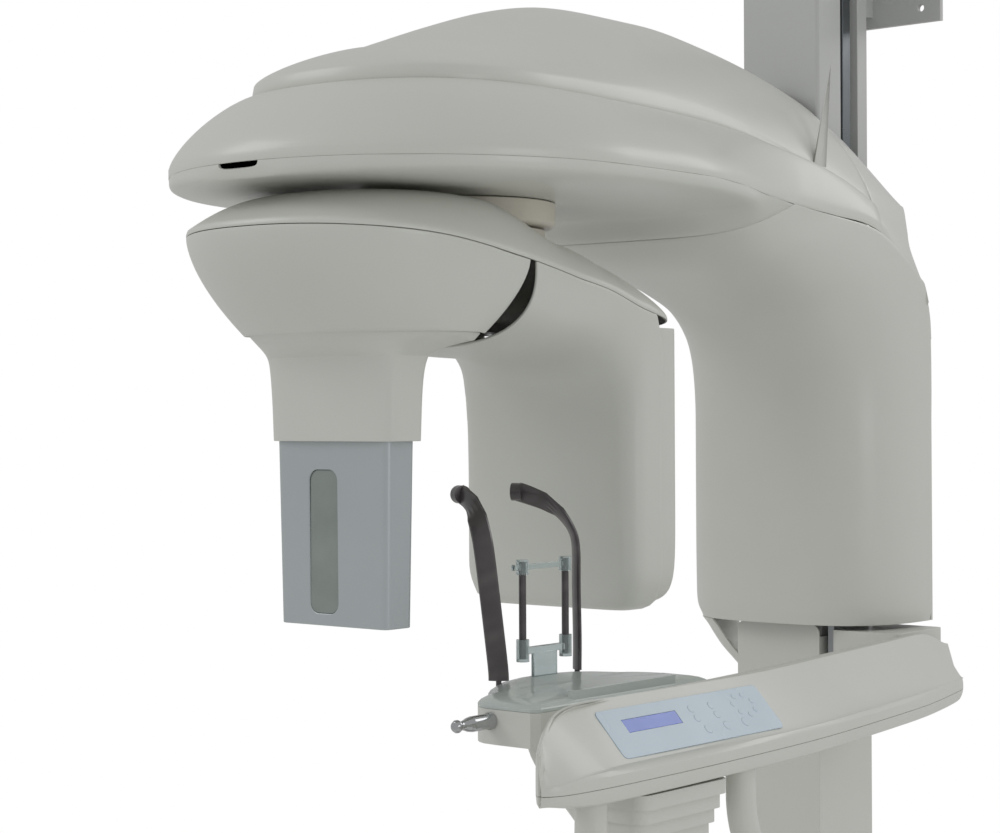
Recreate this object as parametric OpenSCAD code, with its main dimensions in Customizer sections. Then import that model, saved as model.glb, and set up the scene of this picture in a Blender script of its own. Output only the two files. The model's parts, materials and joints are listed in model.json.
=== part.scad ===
// Panoramic dental x-ray machine on a floor column.
// Origin: centre of the column's foot on the floor. +Z is up, -Y points from
// the column to the patient, +X is the operator's side.

/* [Column] */
// Width of the column
col_w = 120; // [110:1:126]
// Depth of the column
col_d = 130; // [124:1:136]
// Height of the column above the base plate
col_h = 2320; // [2290:10:2600]
// Wall of the column extrusion
col_wall = 6; // [4:0.5:8]
// Radius of the column's edges
col_edge_r = 5; // [2:0.5:8]
// Width of the guide groove in each side
groove_w = 44; // [34:1:50]
// Depth of the guide groove
groove_depth = 14; // [12:1:16]
// Distance of the groove's middle behind the column's middle
groove_y = 15; // [8:1:18]
// Width of each guide rail
rail_w = 20; // [14:1:24]
// Height of each guide rail
rail_h = 10; // [8:1:11]

/* [Base] */
// Width of the base plate
base_w = 820; // [700:10:1100]
// Length of the base plate
base_l = 1240; // [1180:10:1400]
// Thickness of the base plate
base_t = 14; // [12:1:20]
// How far the base plate reaches behind the column's middle
base_back = 200; // [150:10:300]
// Spacing across the four anchor holes
anchor_x = 600; // [500:10:660]
// Spacing along the four anchor holes
anchor_y = 200; // [160:10:240]
// Radius of an anchor hole
anchor_r = 7; // [5:0.5:9]

/* [Head] */
// Height of the seam around the overhead arm
seam_z = 1855; // [1845:1:1900]
// Height of the lower edge of the carriage cover
head_bottom_z = 1318; // [1310:1:1330]
// Distance from the column's middle to the rotation axis
axis_reach = 730; // [710:1:750]
// Half the width of the overhead brim
brim_half_w = 275; // [255:1:290]
// Distance from the rotation axis to the brim's tip
brim_front = 340; // [330:1:360]
// Half the width of the carriage cover
root_half_w = 160; // [150:1:170]
// How far the carriage cover stands in front of the column's middle
root_front = 112; // [110:1:120]
// Height of the hood above the seam
hood_h = 220; // [190:1:240]
// Wall of the moulded covers
shell_t = 3; // [2.5:0.25:4]

/* [Rotating arm] */
// Radius of the fixed collar under the overhead arm
collar_r = 110; // [100:1:115]
// Height of the collar's lower rim
collar_z = 1806; // [1803:1:1808]
// Half the width of the sensor end of the arm
bulb_half_w = 175; // [165:1:185]
// Distance from the axis to the front of the arm
arm_front = 330; // [320:1:340]
// Distance from the axis to the back of the arm
arm_back = 270; // [262:1:280]
// Half the width of the tube housing
tube_half_w = 128; // [120:1:134]
// Height of the tube housing's underside
tube_bottom_z = 1372; // [1366:1:1390]
// Width of the sensor case
sensor_w = 155; // [145:1:165]
// Thickness of the sensor case
sensor_d = 42; // [38:1:46]
// Distance from the axis to the sensor case's inner face
sensor_reach = 163; // [160:1:172]
// Height of the sensor case's underside
sensor_bottom_z = 1376; // [1366:1:1390]

/* [Chin table] */
// Distance from the rotation axis to the table's middle line
table_reach = 177; // [172:1:182]
// Length of the table
table_l = 312; // [300:1:330]
// Height of the table's underside
table_z = 1262; // [1258:1:1264]
// Distance from the axis to the two bite rods
chin_reach = 122; // [118:1:126]
// Spacing of the bite rods
rod_gap = 74; // [70:1:80]
// Distance from the axis to the temple bars' feet
bar_reach = 114; // [112:1:116]
// Spacing of the temple bars' feet
bar_gap = 136; // [130:1:142]
// Diameter of the knob shaft
knob_shaft_d = 12; // [10:0.5:13]

/* [Console] */
// Distance from the column's middle line to the panel's upper edge
panel_x = 298; // [296:1:302]
// Length of the key panel
panel_l = 285; // [260:1:290]
// Depth of the key panel along its slope
panel_h = 58; // [50:1:58]
// Slope of the key panel in degrees
panel_slope = 47; // [44:1:48]
// Diameter of the grab handles
handle_d = 32; // [28:1:34]

/* [Hidden] */

// Colours
shell_c = "#D8D9D3";
cream_c = "#E2DED2";
silver_c = "#BFC6C6";
steel_c = "#9A9DA0";
dark_c = "#5A5555";
clear_c = "#DCE6E8";
blue_c = "#BCCDD9";
lcd_c = "#2F57B8";

// Fits
run_gap = 0.05;     // radial clearance of a running fit
slide_gap = 0.5;    // clearance of a sliding block
seam_gap = 0.6;     // joint between two covers
axis_y = -axis_reach;
arc_n = 48;         // segments of an exact round
EPS = 0.01;

// ---------------------------------------------------------------- helpers

function clamp01(x) = min(1, max(0, x));
function ease(a, b, x) = let (t = clamp01((x - a) / (b - a))) t * t * (3 - 2 * t);
function mix(a, b, t) = a + (b - a) * t;
function spow(x, e) = sign(x) * pow(abs(x), e);

// Unit normal of a grid of points at row i, column j
function grid_normal(p, i, j, wrap) =
    let (n = len(p), m = len(p[0]),
         du = p[min(i + 1, n - 1)][j] - p[max(i - 1, 0)][j],
         dv = wrap ? p[i][(j + 1) % m] - p[i][(j + m - 1) % m]
                   : p[i][min(j + 1, m - 1)] - p[i][max(j - 1, 0)],
         c = cross(du, dv))
    c / max(norm(c), 1e-9);

// A wall of thickness t whose outer face is the grid of points p.
// With wrap, the last column joins the first.
module wall(p, t, wrap = false) {
    n = len(p);
    m = len(p[0]);
    cols = wrap ? m : m - 1;
    outer = [for (r = p) for (q = r) q];
    inner = [for (i = [0:n - 1]) for (j = [0:m - 1]) p[i][j] - t * grid_normal(p, i, j, wrap)];
    k = n * m;
    function at(i, j, s) = s * k + i * m + (j % m);
    function quad(a, b, c, d) = [[a, b, c], [a, c, d]];
    faces = concat(
        [for (i = [0:n - 2]) for (j = [0:cols - 1]) for (f =
            quad(at(i, j, 0), at(i, j + 1, 0), at(i + 1, j + 1, 0), at(i + 1, j, 0))) f],
        [for (i = [0:n - 2]) for (j = [0:cols - 1]) for (f =
            quad(at(i, j, 1), at(i + 1, j, 1), at(i + 1, j + 1, 1), at(i, j + 1, 1))) f],
        [for (j = [0:cols - 1]) for (f =
            quad(at(0, j, 0), at(0, j, 1), at(0, j + 1, 1), at(0, j + 1, 0))) f],
        [for (j = [0:cols - 1]) for (f =
            quad(at(n - 1, j, 0), at(n - 1, j + 1, 0), at(n - 1, j + 1, 1), at(n - 1, j, 1))) f],
        wrap ? [] : [for (i = [0:n - 2]) for (f =
            quad(at(i, 0, 0), at(i + 1, 0, 0), at(i + 1, 0, 1), at(i, 0, 1))) f],
        wrap ? [] : [for (i = [0:n - 2]) for (f =
            quad(at(i, m - 1, 0), at(i, m - 1, 1), at(i + 1, m - 1, 1), at(i + 1, m - 1, 0))) f]);
    polyhedron(points = concat(outer, inner), faces = faces);
}

// A solid skinned over closed rings, capped at both ends
module skin(rings) {
    n = len(rings);
    m = len(rings[0]);
    pts = [for (r = rings) for (q = r) q];
    function centre(r) = [for (a = [0:2]) mix(min([for (q = r) q[a]]), max([for (q = r) q[a]]), 0.5)];
    caps = [centre(rings[0]), centre(rings[n - 1])];
    faces = concat(
        [for (i = [0:n - 2]) for (j = [0:m - 1])
            for (f = [[i * m + j, i * m + (j + 1) % m, (i + 1) * m + (j + 1) % m],
                      [i * m + j, (i + 1) * m + (j + 1) % m, (i + 1) * m + j]]) f],
        [for (j = [0:m - 1]) [n * m, (j + 1) % m, j]],
        [for (j = [0:m - 1]) [n * m + 1, (n - 1) * m + j, (n - 1) * m + (j + 1) % m]]);
    polyhedron(points = concat(pts, caps), faces = faces);
}

// A box with rounded upright edges, its lower corner at the origin
module rounded_bar(w, d, h, r) {
    linear_extrude(h) rounded_rect(w, d, r);
}

module rounded_rect(w, d, r) {
    translate([r, 0]) square([w - 2 * r, d]);
    translate([0, r]) square([w, d - 2 * r]);
    for (x = [r, w - r]) for (y = [r, d - r]) translate([x, y]) circle(r, $fn = arc_n);
}

module tube(r_out, r_in, h) {
    difference() {
        cylinder(r = r_out, h = h, $fn = arc_n);
        translate([0, 0, -1]) cylinder(r = r_in, h = h + 2, $fn = arc_n);
    }
}

// A round bar bent through an arc of angle a and radius r, in the XZ plane
module bent_bar(r, d, a) {
    rotate([90, 0, 0]) rotate_extrude(angle = a, $fn = arc_n) translate([r, 0]) circle(d / 2, $fn = 32);
}

// A solid bar skinned along points p; each section is 2*a wide along the
// vector w of that point and 2*b thick across it
module ribbon(p, w, a, b) {
    n = len(p);
    skin([for (i = [0:n - 1])
        let (along = p[min(i + 1, n - 1)] - p[max(i - 1, 0)],
             side = cross(w[i], along),
             v = side / norm(side),
             u = cross(along, v) / norm(cross(along, v)))
        [for (q = [0:30:330]) p[i] + a * cos(q) * u + b * spow(sin(q), 0.8) * v]]);
}

// ---------------------------------------------------------------- base and column

module base_plate() {
    color(shell_c) difference() {
        translate([-base_w / 2, base_back - base_l, 0]) rounded_bar(base_w, base_l, base_t, 60);
        for (x = [-1, 1]) for (y = [-1, 1])
            translate([x * anchor_x / 2, y * anchor_y / 2, -1]) cylinder(r = anchor_r, h = base_t + 2, $fn = arc_n);
    }
}

// Four foot bolts hold the column's foot flange to the plate
foot_w = 220;
foot_t = 12;
foot_bolt = 85;
foot_bolt_r = 6;

module anchor_bolts() {
    color(steel_c) for (x = [-1, 1]) for (y = [-1, 1])
        translate([x * foot_bolt, y * foot_bolt, base_t + foot_t]) {
            cylinder(r = 2 * foot_bolt_r, h = 2, $fn = arc_n);
            translate([0, 0, 2]) cylinder(r = 1.6 * foot_bolt_r, h = 7, $fn = 6);
        }
}

groove_floor = col_w / 2 - groove_depth;
slot_y = -col_d / 2 + 30;
slot_w = 16;
lift_down = 350;
lift_up = 200;
nut_z = head_bottom_z + 190;
nut_h = 40;
screw_y = slot_y;
screw_r = 10;
back_window_z = 2100;

module column_plan() {
    difference() {
        translate([-col_w / 2, -col_d / 2]) rounded_rect(col_w, col_d, col_edge_r);
        difference() {
            translate([-col_w / 2 + col_wall, -col_d / 2 + col_wall])
                square([col_w - 2 * col_wall, col_d - 2 * col_wall]);
            for (s = [-1, 1])
                translate([s * (groove_floor + groove_depth / 2 - 2), groove_y])
                    square([groove_depth + 4, groove_w + 8], center = true);
        }
        for (s = [-1, 1])
            translate([s * (groove_floor + groove_depth / 2 + 1), groove_y])
                square([groove_depth + 2, groove_w], center = true);
    }
}

module column() {
    color(shell_c) difference() {
        union() {
            translate([0, 0, base_t + foot_t]) linear_extrude(col_h - foot_t) column_plan();
            translate([-foot_w / 2, -foot_w / 2, base_t]) rounded_bar(foot_w, foot_w, foot_t, 12);
        }
        translate([-col_w / 2 - 1, slot_y - slot_w / 2, nut_z - lift_down - 20])
            cube([col_wall + 2, slot_w, lift_down + lift_up + nut_h + 40]);
    }
}

module guide_rails() {
    color(steel_c) for (s = [-1, 1])
        translate([s * (groove_floor + rail_h / 2), groove_y, base_t + foot_t + (col_h - foot_t) / 2])
            cube([rail_h, rail_w, col_h - foot_t - 20], center = true);
}

module column_cap() {
    color(shell_c) translate([-col_w / 2 - 2, -col_d / 2 - 2, base_t + col_h])
        difference() {
            rounded_bar(col_w + 4, col_d + 4, 12, col_edge_r + 2);
            translate([col_w / 2 + 2, screw_y + col_d / 2 + 2, -1]) cylinder(r = screw_r + run_gap, h = 9, $fn = arc_n);
        }
}

// Plate that ties the column's back to a wall
bracket_w = 300;
bracket_h = 90;
bracket_z = 2180;
bracket_gap = 40;
wall_bolt_r = 5;
wall_bolt_x = 240;
wall_bolt_z = 50;

module wall_bracket() {
    wall_y = col_d / 2 + bracket_gap;
    color(shell_c) difference() {
        union() {
            translate([-bracket_w / 2, wall_y, bracket_z - bracket_h / 2]) cube([bracket_w, 8, bracket_h]);
            for (s = [-1, 1])
                translate([s * 40 - 4, col_d / 2, bracket_z - 30]) cube([8, bracket_gap + 1, 60]);
        }
        for (x = [-1, 1]) for (z = [-1, 1])
            translate([x * wall_bolt_x / 2, wall_y - 1, bracket_z + z * wall_bolt_z / 2])
                rotate([-90, 0, 0]) cylinder(r = wall_bolt_r, h = 10, $fn = arc_n);
    }
}

motor_h = 90;
motor_z = base_t + foot_t;

module lift_motor() {
    color(dark_c) difference() {
        union() {
            translate([-32, screw_y - 24, motor_z]) rounded_bar(64, 60, motor_h, 8);
            translate([0, screw_y, motor_z + motor_h]) cylinder(r = 20, h = 14, $fn = arc_n);
        }
        translate([0, screw_y, motor_z + motor_h - 12]) cylinder(r = screw_r + run_gap, h = 30, $fn = arc_n);
    }
}

module lift_screw() {
    z0 = motor_z + motor_h - 11;
    color(steel_c) translate([0, screw_y, z0])
        cylinder(r = screw_r, h = base_t + col_h + 7 - z0, $fn = arc_n);
}

// Mains inlet and rocker switch at the back of the column's foot
inlet_z = 110;

module power_inlet() {
    color("#303234") difference() {
        translate([-24, col_d / 2, inlet_z]) cube([48, 18, 64]);
        translate([-14, col_d / 2 + 6, inlet_z + 8]) cube([28, 13, 20]);
        translate([-7, col_d / 2 + 8, inlet_z + 38]) cube([14, 11, 22]);
    }
}

module power_rocker() {
    color("#1E1F20") translate([0, col_d / 2 + 15.5, inlet_z + 49]) {
        rotate([0, 90, 0]) cylinder(r = 4, h = 13, center = true, $fn = arc_n);
        translate([-6.5, 0, -8]) cube([13, 6, 16]);
    }
}

// ---------------------------------------------------------------- lift carriage

side_plate_x = col_w / 2 + 14;
plate_t = 10;
frame_z = head_bottom_z + 22;
frame_front = -col_d / 2 - 20;
beam_z = seam_z + 7;
beam_h = 40;
beam_x = 105;
beam_t = 25;
beam_front = axis_y - 230;
ledge_x = 76;
head_z = seam_z - 112;

module carriage_frame() {
    color(steel_c) {
        translate([-side_plate_x - plate_t, frame_front - plate_t, frame_z])
            cube([2 * (side_plate_x + plate_t), plate_t, head_z - frame_z]);
        translate([-beam_x - beam_t, frame_front - plate_t, head_z])
            cube([2 * (beam_x + beam_t), plate_t, beam_z + beam_h - head_z]);
        for (s = [-1, 1])
            translate([s * (side_plate_x + plate_t / 2), (frame_front + 44) / 2, (frame_z + seam_z - 60) / 2])
                cube([plate_t, 44 - frame_front, seam_z - 60 - frame_z], center = true);
        translate([side_plate_x, -70, console_top_z - 90]) cube([plate_t, 90, frame_z - console_top_z + 91]);
    }
}

block_h = 120;
block_leg = 7;

module bearing_blocks() {
    leg_gap = rail_w / 2 + slide_gap;
    color(dark_c) for (s = [-1, 1]) for (z = [frame_z + 30, seam_z - 220])
        translate([0, groove_y, z]) {
            translate([s * (groove_floor + rail_h + slide_gap + side_plate_x) / 2, 0, block_h / 2])
                cube([side_plate_x - groove_floor - rail_h - slide_gap, 2 * (leg_gap + block_leg), block_h], center = true);
            for (t = [-1, 1])
                translate([s * (groove_floor + 2 + rail_h / 2), t * (leg_gap + block_leg / 2), block_h / 2])
                    cube([rail_h + 1, block_leg, block_h], center = true);
        }
}

module lift_nut() {
    arm_w = slot_w - 4;
    color("#B08D4A") difference() {
        union() {
            translate([0, screw_y, nut_z]) cylinder(r = 22, h = nut_h, $fn = arc_n);
            translate([-side_plate_x, screw_y - arm_w / 2, nut_z]) cube([side_plate_x, arm_w, nut_h]);
        }
        translate([0, screw_y, nut_z - 1]) cylinder(r = screw_r + run_gap, h = nut_h + 2, $fn = arc_n);
    }
}

module arm_beam() {
    l = frame_front - plate_t - beam_front;
    color(steel_c) {
        for (s = [-1, 1]) {
            translate([s * (beam_x + beam_t / 2), beam_front + l / 2, beam_z + beam_h / 2])
                cube([beam_t, l, beam_h], center = true);
            translate([s * (ledge_x + beam_x) / 2, axis_y, beam_z + 4])
                cube([beam_x - ledge_x, 300, 8], center = true);
        }
        translate([-beam_x, beam_front, beam_z]) cube([2 * beam_x, 20, beam_h]);
        translate([-beam_x, axis_y + 260, beam_z]) cube([2 * beam_x, 20, beam_h]);
    }
}

module stage_rails() {
    color(steel_c) for (s = [-1, 1])
        translate([s * (ledge_x + 12), axis_y, beam_z + 8 + 5]) cube([14, 290, 10], center = true);
}

// Profile of the lower head shell. Each row: [bottom line y, z, seam y, z, half width, squareness]
brim_tip = axis_y - brim_front;
brim_n = 2;
function side_width(y) = mix(brim_half_w, root_half_w, ease(axis_y + 60, axis_y + 500, y));
function tip_width(y) =
    let (yc = axis_y - 50, t = clamp01((yc - y) / (yc - brim_tip)))
    y > yc ? side_width(y) : brim_half_w * pow(1 - pow(t, brim_n), 1 / brim_n);
function seam_drop(y) = lookup(y, [
    [-310, 1], [-190, 8], [-90, 19], [-25, 46], [22, 75], [45, 110], [52, 165], [53, 225]]);

root_profile = [
    [-root_front + 8, head_bottom_z, 52, head_bottom_z, root_half_w - 4, 2.8],
    [-root_front + 2, head_bottom_z + 32, 52, head_bottom_z + 32, root_half_w, 3],
    [-root_front, 1450, 52, 1450, root_half_w, 3],
    [-root_front, 1560, 52, 1560, root_half_w, 3],
    [-root_front - 2, 1620, 53, 1630, root_half_w, 3],
    [-root_front - 12, 1665, 52, 1690, root_half_w, 3],
    [-root_front - 32, 1696, 45, 1745, root_half_w, 3],
    [-root_front - 70, 1728, 22, 1780, root_half_w, 3],
    [-root_front - 125, 1752, -25, 1809, root_half_w, 3.2],
    [-root_front - 180, 1768, -90, 1836, root_half_w, 3.4],
    [-root_front - 250, 1787, -190, seam_z - 8, side_width(-220), 3.8],
    [-root_front - 310, 1812, -300, seam_z - 1, side_width(-310), 4.4]
];
underside_z = seam_z - 17;
under_profile = concat(
    [[-root_front - 312, 1812.5, -304, seam_z - 1, side_width(-314), 4.4]],
    [for (y = [-470, -540, -640, axis_y, axis_y - 90, axis_y - 170, axis_y - 240, axis_y - 290, brim_tip + 14])
        [y, underside_z + 3 * ease(axis_y - 150, brim_tip, y), y, seam_z - seam_gap, tip_width(y), 5]],
    [[brim_tip + 3, seam_z - 8, brim_tip + 3, seam_z - 1, tip_width(brim_tip + 3), 4]]);

function head_rows(profile) = [for (r = profile) [for (a = [0:11.25:180])
    let (c = spow(cos(a), 2 / r[5]), s = spow(sin(a), 2 / r[5]))
    [r[4] * c, mix(r[2], r[0], s), mix(r[3], r[1], s)]]];

module root_shell() {
    color(shell_c) wall(head_rows(root_profile), shell_t);
}

stage_back = 10;
stage_fwd = 30;
neck_post_r = 66;

module underside_cover() {
    slot_r = neck_post_r + 6;
    color(shell_c) difference() {
        wall(head_rows(under_profile), shell_t);
        for (y = [axis_y - stage_fwd, axis_y + stage_back])
            translate([0, y, underside_z - 20]) cylinder(r = slot_r, h = 60, $fn = arc_n);
        translate([-slot_r, axis_y - stage_fwd, underside_z - 20]) cube([2 * slot_r, stage_fwd + stage_back, 60]);
    }
}

// A loop from the back right corner round the tip to the back left corner
cover_back = -76;
side_ys = [cover_back, -120, -170, -230, -300, -400, -500, -600, -700];
function loop(w, taper, b, n, grow = 0) = concat(
    [for (y = side_ys) [mix(w, w * taper, ease(axis_y + 60, axis_y + 500, y)) + grow, y]],
    [for (a = [0:15:180]) [(w + grow) * spow(cos(a), 2 / n), axis_y - 50 - (b + grow) * spow(sin(a), 2 / n)]],
    [for (i = [len(side_ys) - 1:-1:0]) let (y = side_ys[i])
        [-mix(w, w * taper, ease(axis_y + 60, axis_y + 500, y)) - grow, y]]);

crease_w = 176;
crease_b = brim_front - 148;
crease_z = seam_z + 85;
crease_taper = 148 / crease_w;
function crease_drop(y) = lookup(y, [[axis_y, 0], [-340, 14], [-150, 45], [30, 110]]);
function hood_line(y) = seam_z + hood_h - lookup(y, [
    [axis_y - 150, 85], [axis_y - 50, 52], [axis_y + 130, 2], [-400, 0], [-160, 30], [cover_back, 46], [60, 80]]);

brim_outer = loop(brim_half_w, root_half_w / brim_half_w, brim_front - 50, brim_n);
crease = loop(crease_w, crease_taper, crease_b, 2.4);

brim_lip = 9;
function brim_low(y) = seam_z + seam_gap - seam_drop(y);

// A short upright lip, then a curve in to the crease
function brim_row(f) = [for (i = [0:len(crease) - 1])
    let (o = brim_outer[i], c = crease[i], t = 90 * clamp01(f), h = spow(cos(t), 1.5), v = spow(sin(t), 1.5))
    [mix(c[0], o[0], h), mix(c[1], o[1], h),
     f < 0 ? brim_low(o[1]) : mix(brim_low(o[1]) + brim_lip, crease_z - crease_drop(c[1]), v)]];

module brim_cover() {
    color(shell_c) wall([for (f = [-1, 0, 0.15, 0.35, 0.55, 0.75, 0.9, 1]) brim_row(f)], shell_t);
}

function hood_row(f) = [for (c = crease)
    let (y = max(c[1], axis_y - 150), x = 0, e = 1.35,
         h = spow(cos(90 * f), 2 / e), v = spow(sin(90 * f), 2 / e))
    [mix(x, c[0] * 0.985, h), mix(y, c[1] + (c[1] < axis_y - 50 ? 3 : 0), h),
     mix(crease_z + seam_gap - crease_drop(c[1]), hood_line(y), v)]];

module hood_cover() {
    color(shell_c) wall([for (f = [0.02, 0.15, 0.3, 0.45, 0.6, 0.75, 0.88, 0.97]) hood_row(f)], shell_t);
}

// Cheeks beside the column, lofted from the hood's end to the back plate's outline
slot_half = col_w / 2 + 8;
cheek_back = 58;
cheek_xs = [slot_half, 84, 100, 114, 127, 138, 146];
cheek_end = [[slot_half, 1928], [77, 1917], [87, 1907], [97, 1897], [107, 1887], [114, 1880], [119, 1874],
    [124, 1845], [129, 1818], [151, 1762], [158, 1729], [root_half_w, seam_z - 158]];
function cheek_height(x, y) =
    let (z0 = crease_z - crease_drop(y), e = 1.35, t = clamp01(x / (crease_w * crease_taper)))
    z0 + (hood_line(y) - z0) * pow(1 - pow(t, e), 1 / e);
cheek_start = let (y = cover_back, z0 = crease_z - crease_drop(y), z1 = brim_low(y))
    concat([for (x = cheek_xs) [x, cheek_height(x, y)]],
        [for (f = [0.25, 0.5, 0.75, 1]) [mix(146, root_half_w, spow(sin(90 * f), 0.7)), mix(z0, z1 + brim_lip, f)]],
        [[root_half_w, z1]]);
function cheek_row(y) = let (t = pow(clamp01((y - cover_back) / (cheek_back - cover_back)), 1.3))
    [for (i = [0:len(cheek_end) - 1]) let (q = mix(cheek_start[i], cheek_end[i], t))
        [q[0], y, i == len(cheek_end) - 1 ? max(q[1], brim_low(y)) : q[1]]];

module cheek() {
    wall([for (y = [cover_back + seam_gap, -50, -22, 5, 30, 46, cheek_back]) cheek_row(y)], shell_t);
    translate([0, cheek_back, 0]) rotate([90, 0, 0]) linear_extrude(4.4)
        polygon(concat([[slot_half, head_bottom_z], [root_half_w, head_bottom_z]],
            [for (i = [len(cheek_end) - 1:-1:0]) cheek_end[i] - [0.5, 0.5]]));
}

// Rounded lobe that hangs below the shell on the patient's side. Rows: [z, half width, depth]
lobe_back = 52;
lobe_rows = [[head_bottom_z - 11, 150, 143], [head_bottom_z - 24, 147, 130], [head_bottom_z - 43, 140, 112],
    [head_bottom_z - 63, 127, 93], [head_bottom_z - 86, 110, 75]];

module cheek_lobe() {
    wall([for (i = [len(lobe_rows) - 1:-1:-1])
        let (q = i < 0 ? [head_bottom_z - seam_gap / 2, root_half_w - 5, 153] : lobe_rows[i])
        [for (a = [60:-10:0])
            let (x = max(slot_half + 12, q[1] * spow(cos(a), 2 / 3)))
            [-x, lobe_back - q[2] * pow(1 - pow(min(1, x / q[1]), 3), 1 / 3), q[0]]]], shell_t);
}

module rear_panels() {
    color(shell_c) {
        cheek();
        mirror([1, 0, 0]) cheek();
        cheek_lobe();
    }
}

// Sleeve that hangs from the carriage and hides the column's groove below it
sleeve_h = 430;
sleeve_t = 3;
sleeve_gap = 2;
sleeve_r = 12;

module lower_cover() {
    top = head_bottom_z - 2;
    w = col_w + 2 * (sleeve_gap + sleeve_t);
    y = -col_d / 2 - 12;
    color(shell_c) translate([-w / 2, y, top]) rotate([-90, 0, 0]) linear_extrude(sleeve_t) {
        translate([0, sleeve_r]) square([w, sleeve_h - sleeve_r]);
        translate([sleeve_r, 0]) square([w - 2 * sleeve_r, sleeve_r + 2]);
        for (x = [sleeve_r, w - sleeve_r]) translate([x, sleeve_r]) circle(sleeve_r, $fn = arc_n);
    }
    color(shell_c) for (s = [-1, 1])
        translate([s * (w - sleeve_t) / 2 - sleeve_t / 2, y + sleeve_t, top - sleeve_h])
            cube([sleeve_t, col_d + 2, sleeve_h - 16]);
    color(shell_c) translate([-side_plate_x, y + 10, frame_z]) cube([14, 3, 20]);
}

// ---------------------------------------------------------------- console

bracket_x = 186;
console_top_z = head_bottom_z - 5;
console_mid_z = head_bottom_z - 78;
console_low_z = head_bottom_z - 97;
console_crease_z = head_bottom_z - 61;
console_mid_y = axis_y - 42;
console_near = axis_y - 270;
console_far = 26;

function console_back(y) = lookup(y, [
    [axis_y - 270, 331], [axis_y - 258, 316], [axis_y - 240, 306], [axis_y - 200, 293], [axis_y - 130, 280],
    [axis_y, 272], [axis_y + 205, 254], [-250, 216], [-80, 199], [console_far, 187.5]]);
function console_out(y) = lookup(y, [
    [axis_y - 270, 335], [axis_y - 262, 344], [axis_y - 245, 350], [axis_y - 200, 354], [axis_y - 100, 355],
    [axis_y, 353], [axis_y + 205, 343], [axis_y + 342, 325], [-200, 297], [-90, 270], [-20, 250],
    [console_far, 215]]);
function console_ridge(y) = lookup(y, [
    [axis_y - 270, 333], [axis_y - 240, 314], [axis_y - 180, 292], [axis_y - 150, 288], [axis_y + 150, 288],
    [axis_y + 205, 284], [axis_y + 342, 262], [-200, 236], [-80, 216], [console_far, 200]]);
function console_rise(y) = 1 - 0.45 * (1 - ease(console_near, console_near + 60, y))
    - 0.3 * ease(-60, console_far, y);

function console_top_row(y) =
    let (b = console_back(y), o = console_out(y), r = console_ridge(y), k = console_rise(y),
         m = console_mid_z, t = m + (console_top_z - m) * k, c = m + (console_crease_z - m) * k,
         w = min(1, (o - b) / 40), e = min(r + (t - c) / tan(panel_slope), o - 4 * w))
    [[b, y, m + seam_gap], [b, y, mix(m, t, 0.6)], [b + w, y, t - 8 * w], [b + 4 * w, y, t - 3 * w],
     [b + 9 * w, y, t - 0.5], [r, y, t], [mix(r, e, 0.5), y, mix(t, c, 0.5)], [e, y, c],
     [mix(e, o, 0.5), y, c - 1.5 * k], [mix(e, o, 0.9), y, mix(c, m, 0.35)], [o, y, mix(c, m, 0.7)],
     [o, y, m + seam_gap]];

console_ys = [console_near, console_near + 6, console_near + 20, console_near + 45, console_near + 85,
    axis_y - 150, axis_y - 75, axis_y, axis_y + 75, axis_y + 150, axis_y + 230, -400, -300, -200, -120, -60, -20,
    8, console_far];

tongue_y = -75;
tongue_w = 30;
tongue_h = 30;

module console_top_shell() {
    color(shell_c) difference() {
        wall([for (i = [len(console_ys) - 1:-1:0]) console_top_row(console_ys[i])], shell_t);
        translate([bracket_x - 2, tongue_y - 1, beam_low_z + beam_side - 1]) cube([30, tongue_w + 2, tongue_h + 2]);
    }
}

module console_bottom_shell() {
    color(shell_c) difference() {
        wall([for (i = [len(console_ys) - 1:-1:0])
            let (y = console_ys[i], b = console_back(y), o = console_out(y), m = console_mid_z,
                 l = mix(m, console_low_z, console_rise(y)), w = min(1, (o - b) / 40))
            [[o, y, m], [o - w, y, mix(m, l, 0.4)], [o - 4 * w, y, mix(m, l, 0.75)], [o - 11 * w, y, l + 1],
             [(o + b) / 2, y, l], [b + 8 * w, y, l + 1], [b + 2 * w, y, mix(m, l, 0.75)], [b, y, m]]], shell_t);
        for (s = [-1, 1])
            translate([handle_x, handle_mid_y + s * handle_y, console_low_z - 20])
                cylinder(r = handle_d / 2 + seam_gap, h = 60, $fn = arc_n);
    }
}

module console_bracket() {
    h = console_top_z - 2 - console_mid_z + 26;
    color(shell_c) {
        translate([side_plate_x + plate_t, -80, console_top_z - 2 - h])
            rounded_bar(bracket_x - side_plate_x - plate_t, 120, h, 10);
        translate([bracket_x - 10, tongue_y, beam_low_z + beam_side]) cube([46, tongue_w, tongue_h]);
    }
}

beam_side = 24;
beam_low_z = console_low_z + shell_t + 1.4;

module console_beam() {
    far = [226, -50];
    near = [304, axis_y - 100];
    l = norm(near - far);
    color(steel_c) {
        translate([far[0], far[1], beam_low_z]) rotate([0, 0, atan2(near[1] - far[1], near[0] - far[0])])
            translate([0, -beam_side / 2, 0]) cube([l, beam_side, beam_side]);
    }
}

// The key panel lies on the console's slope
panel_z = console_top_z - (panel_x - 288) * tan(panel_slope);
panel_t = 1.2;
lcd_w = 92;
lcd_h = 16;

module on_panel() {
    translate([panel_x, axis_y, panel_z]) rotate([0, panel_slope, 0]) children();
}

module key_bump(x, y, r, n) {
    translate([x, y, panel_t]) cylinder(r1 = r, r2 = 0.8 * r, h = 0.8, $fn = n);
}

lcd_from = [14, -panel_l / 2 + 32];

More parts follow.
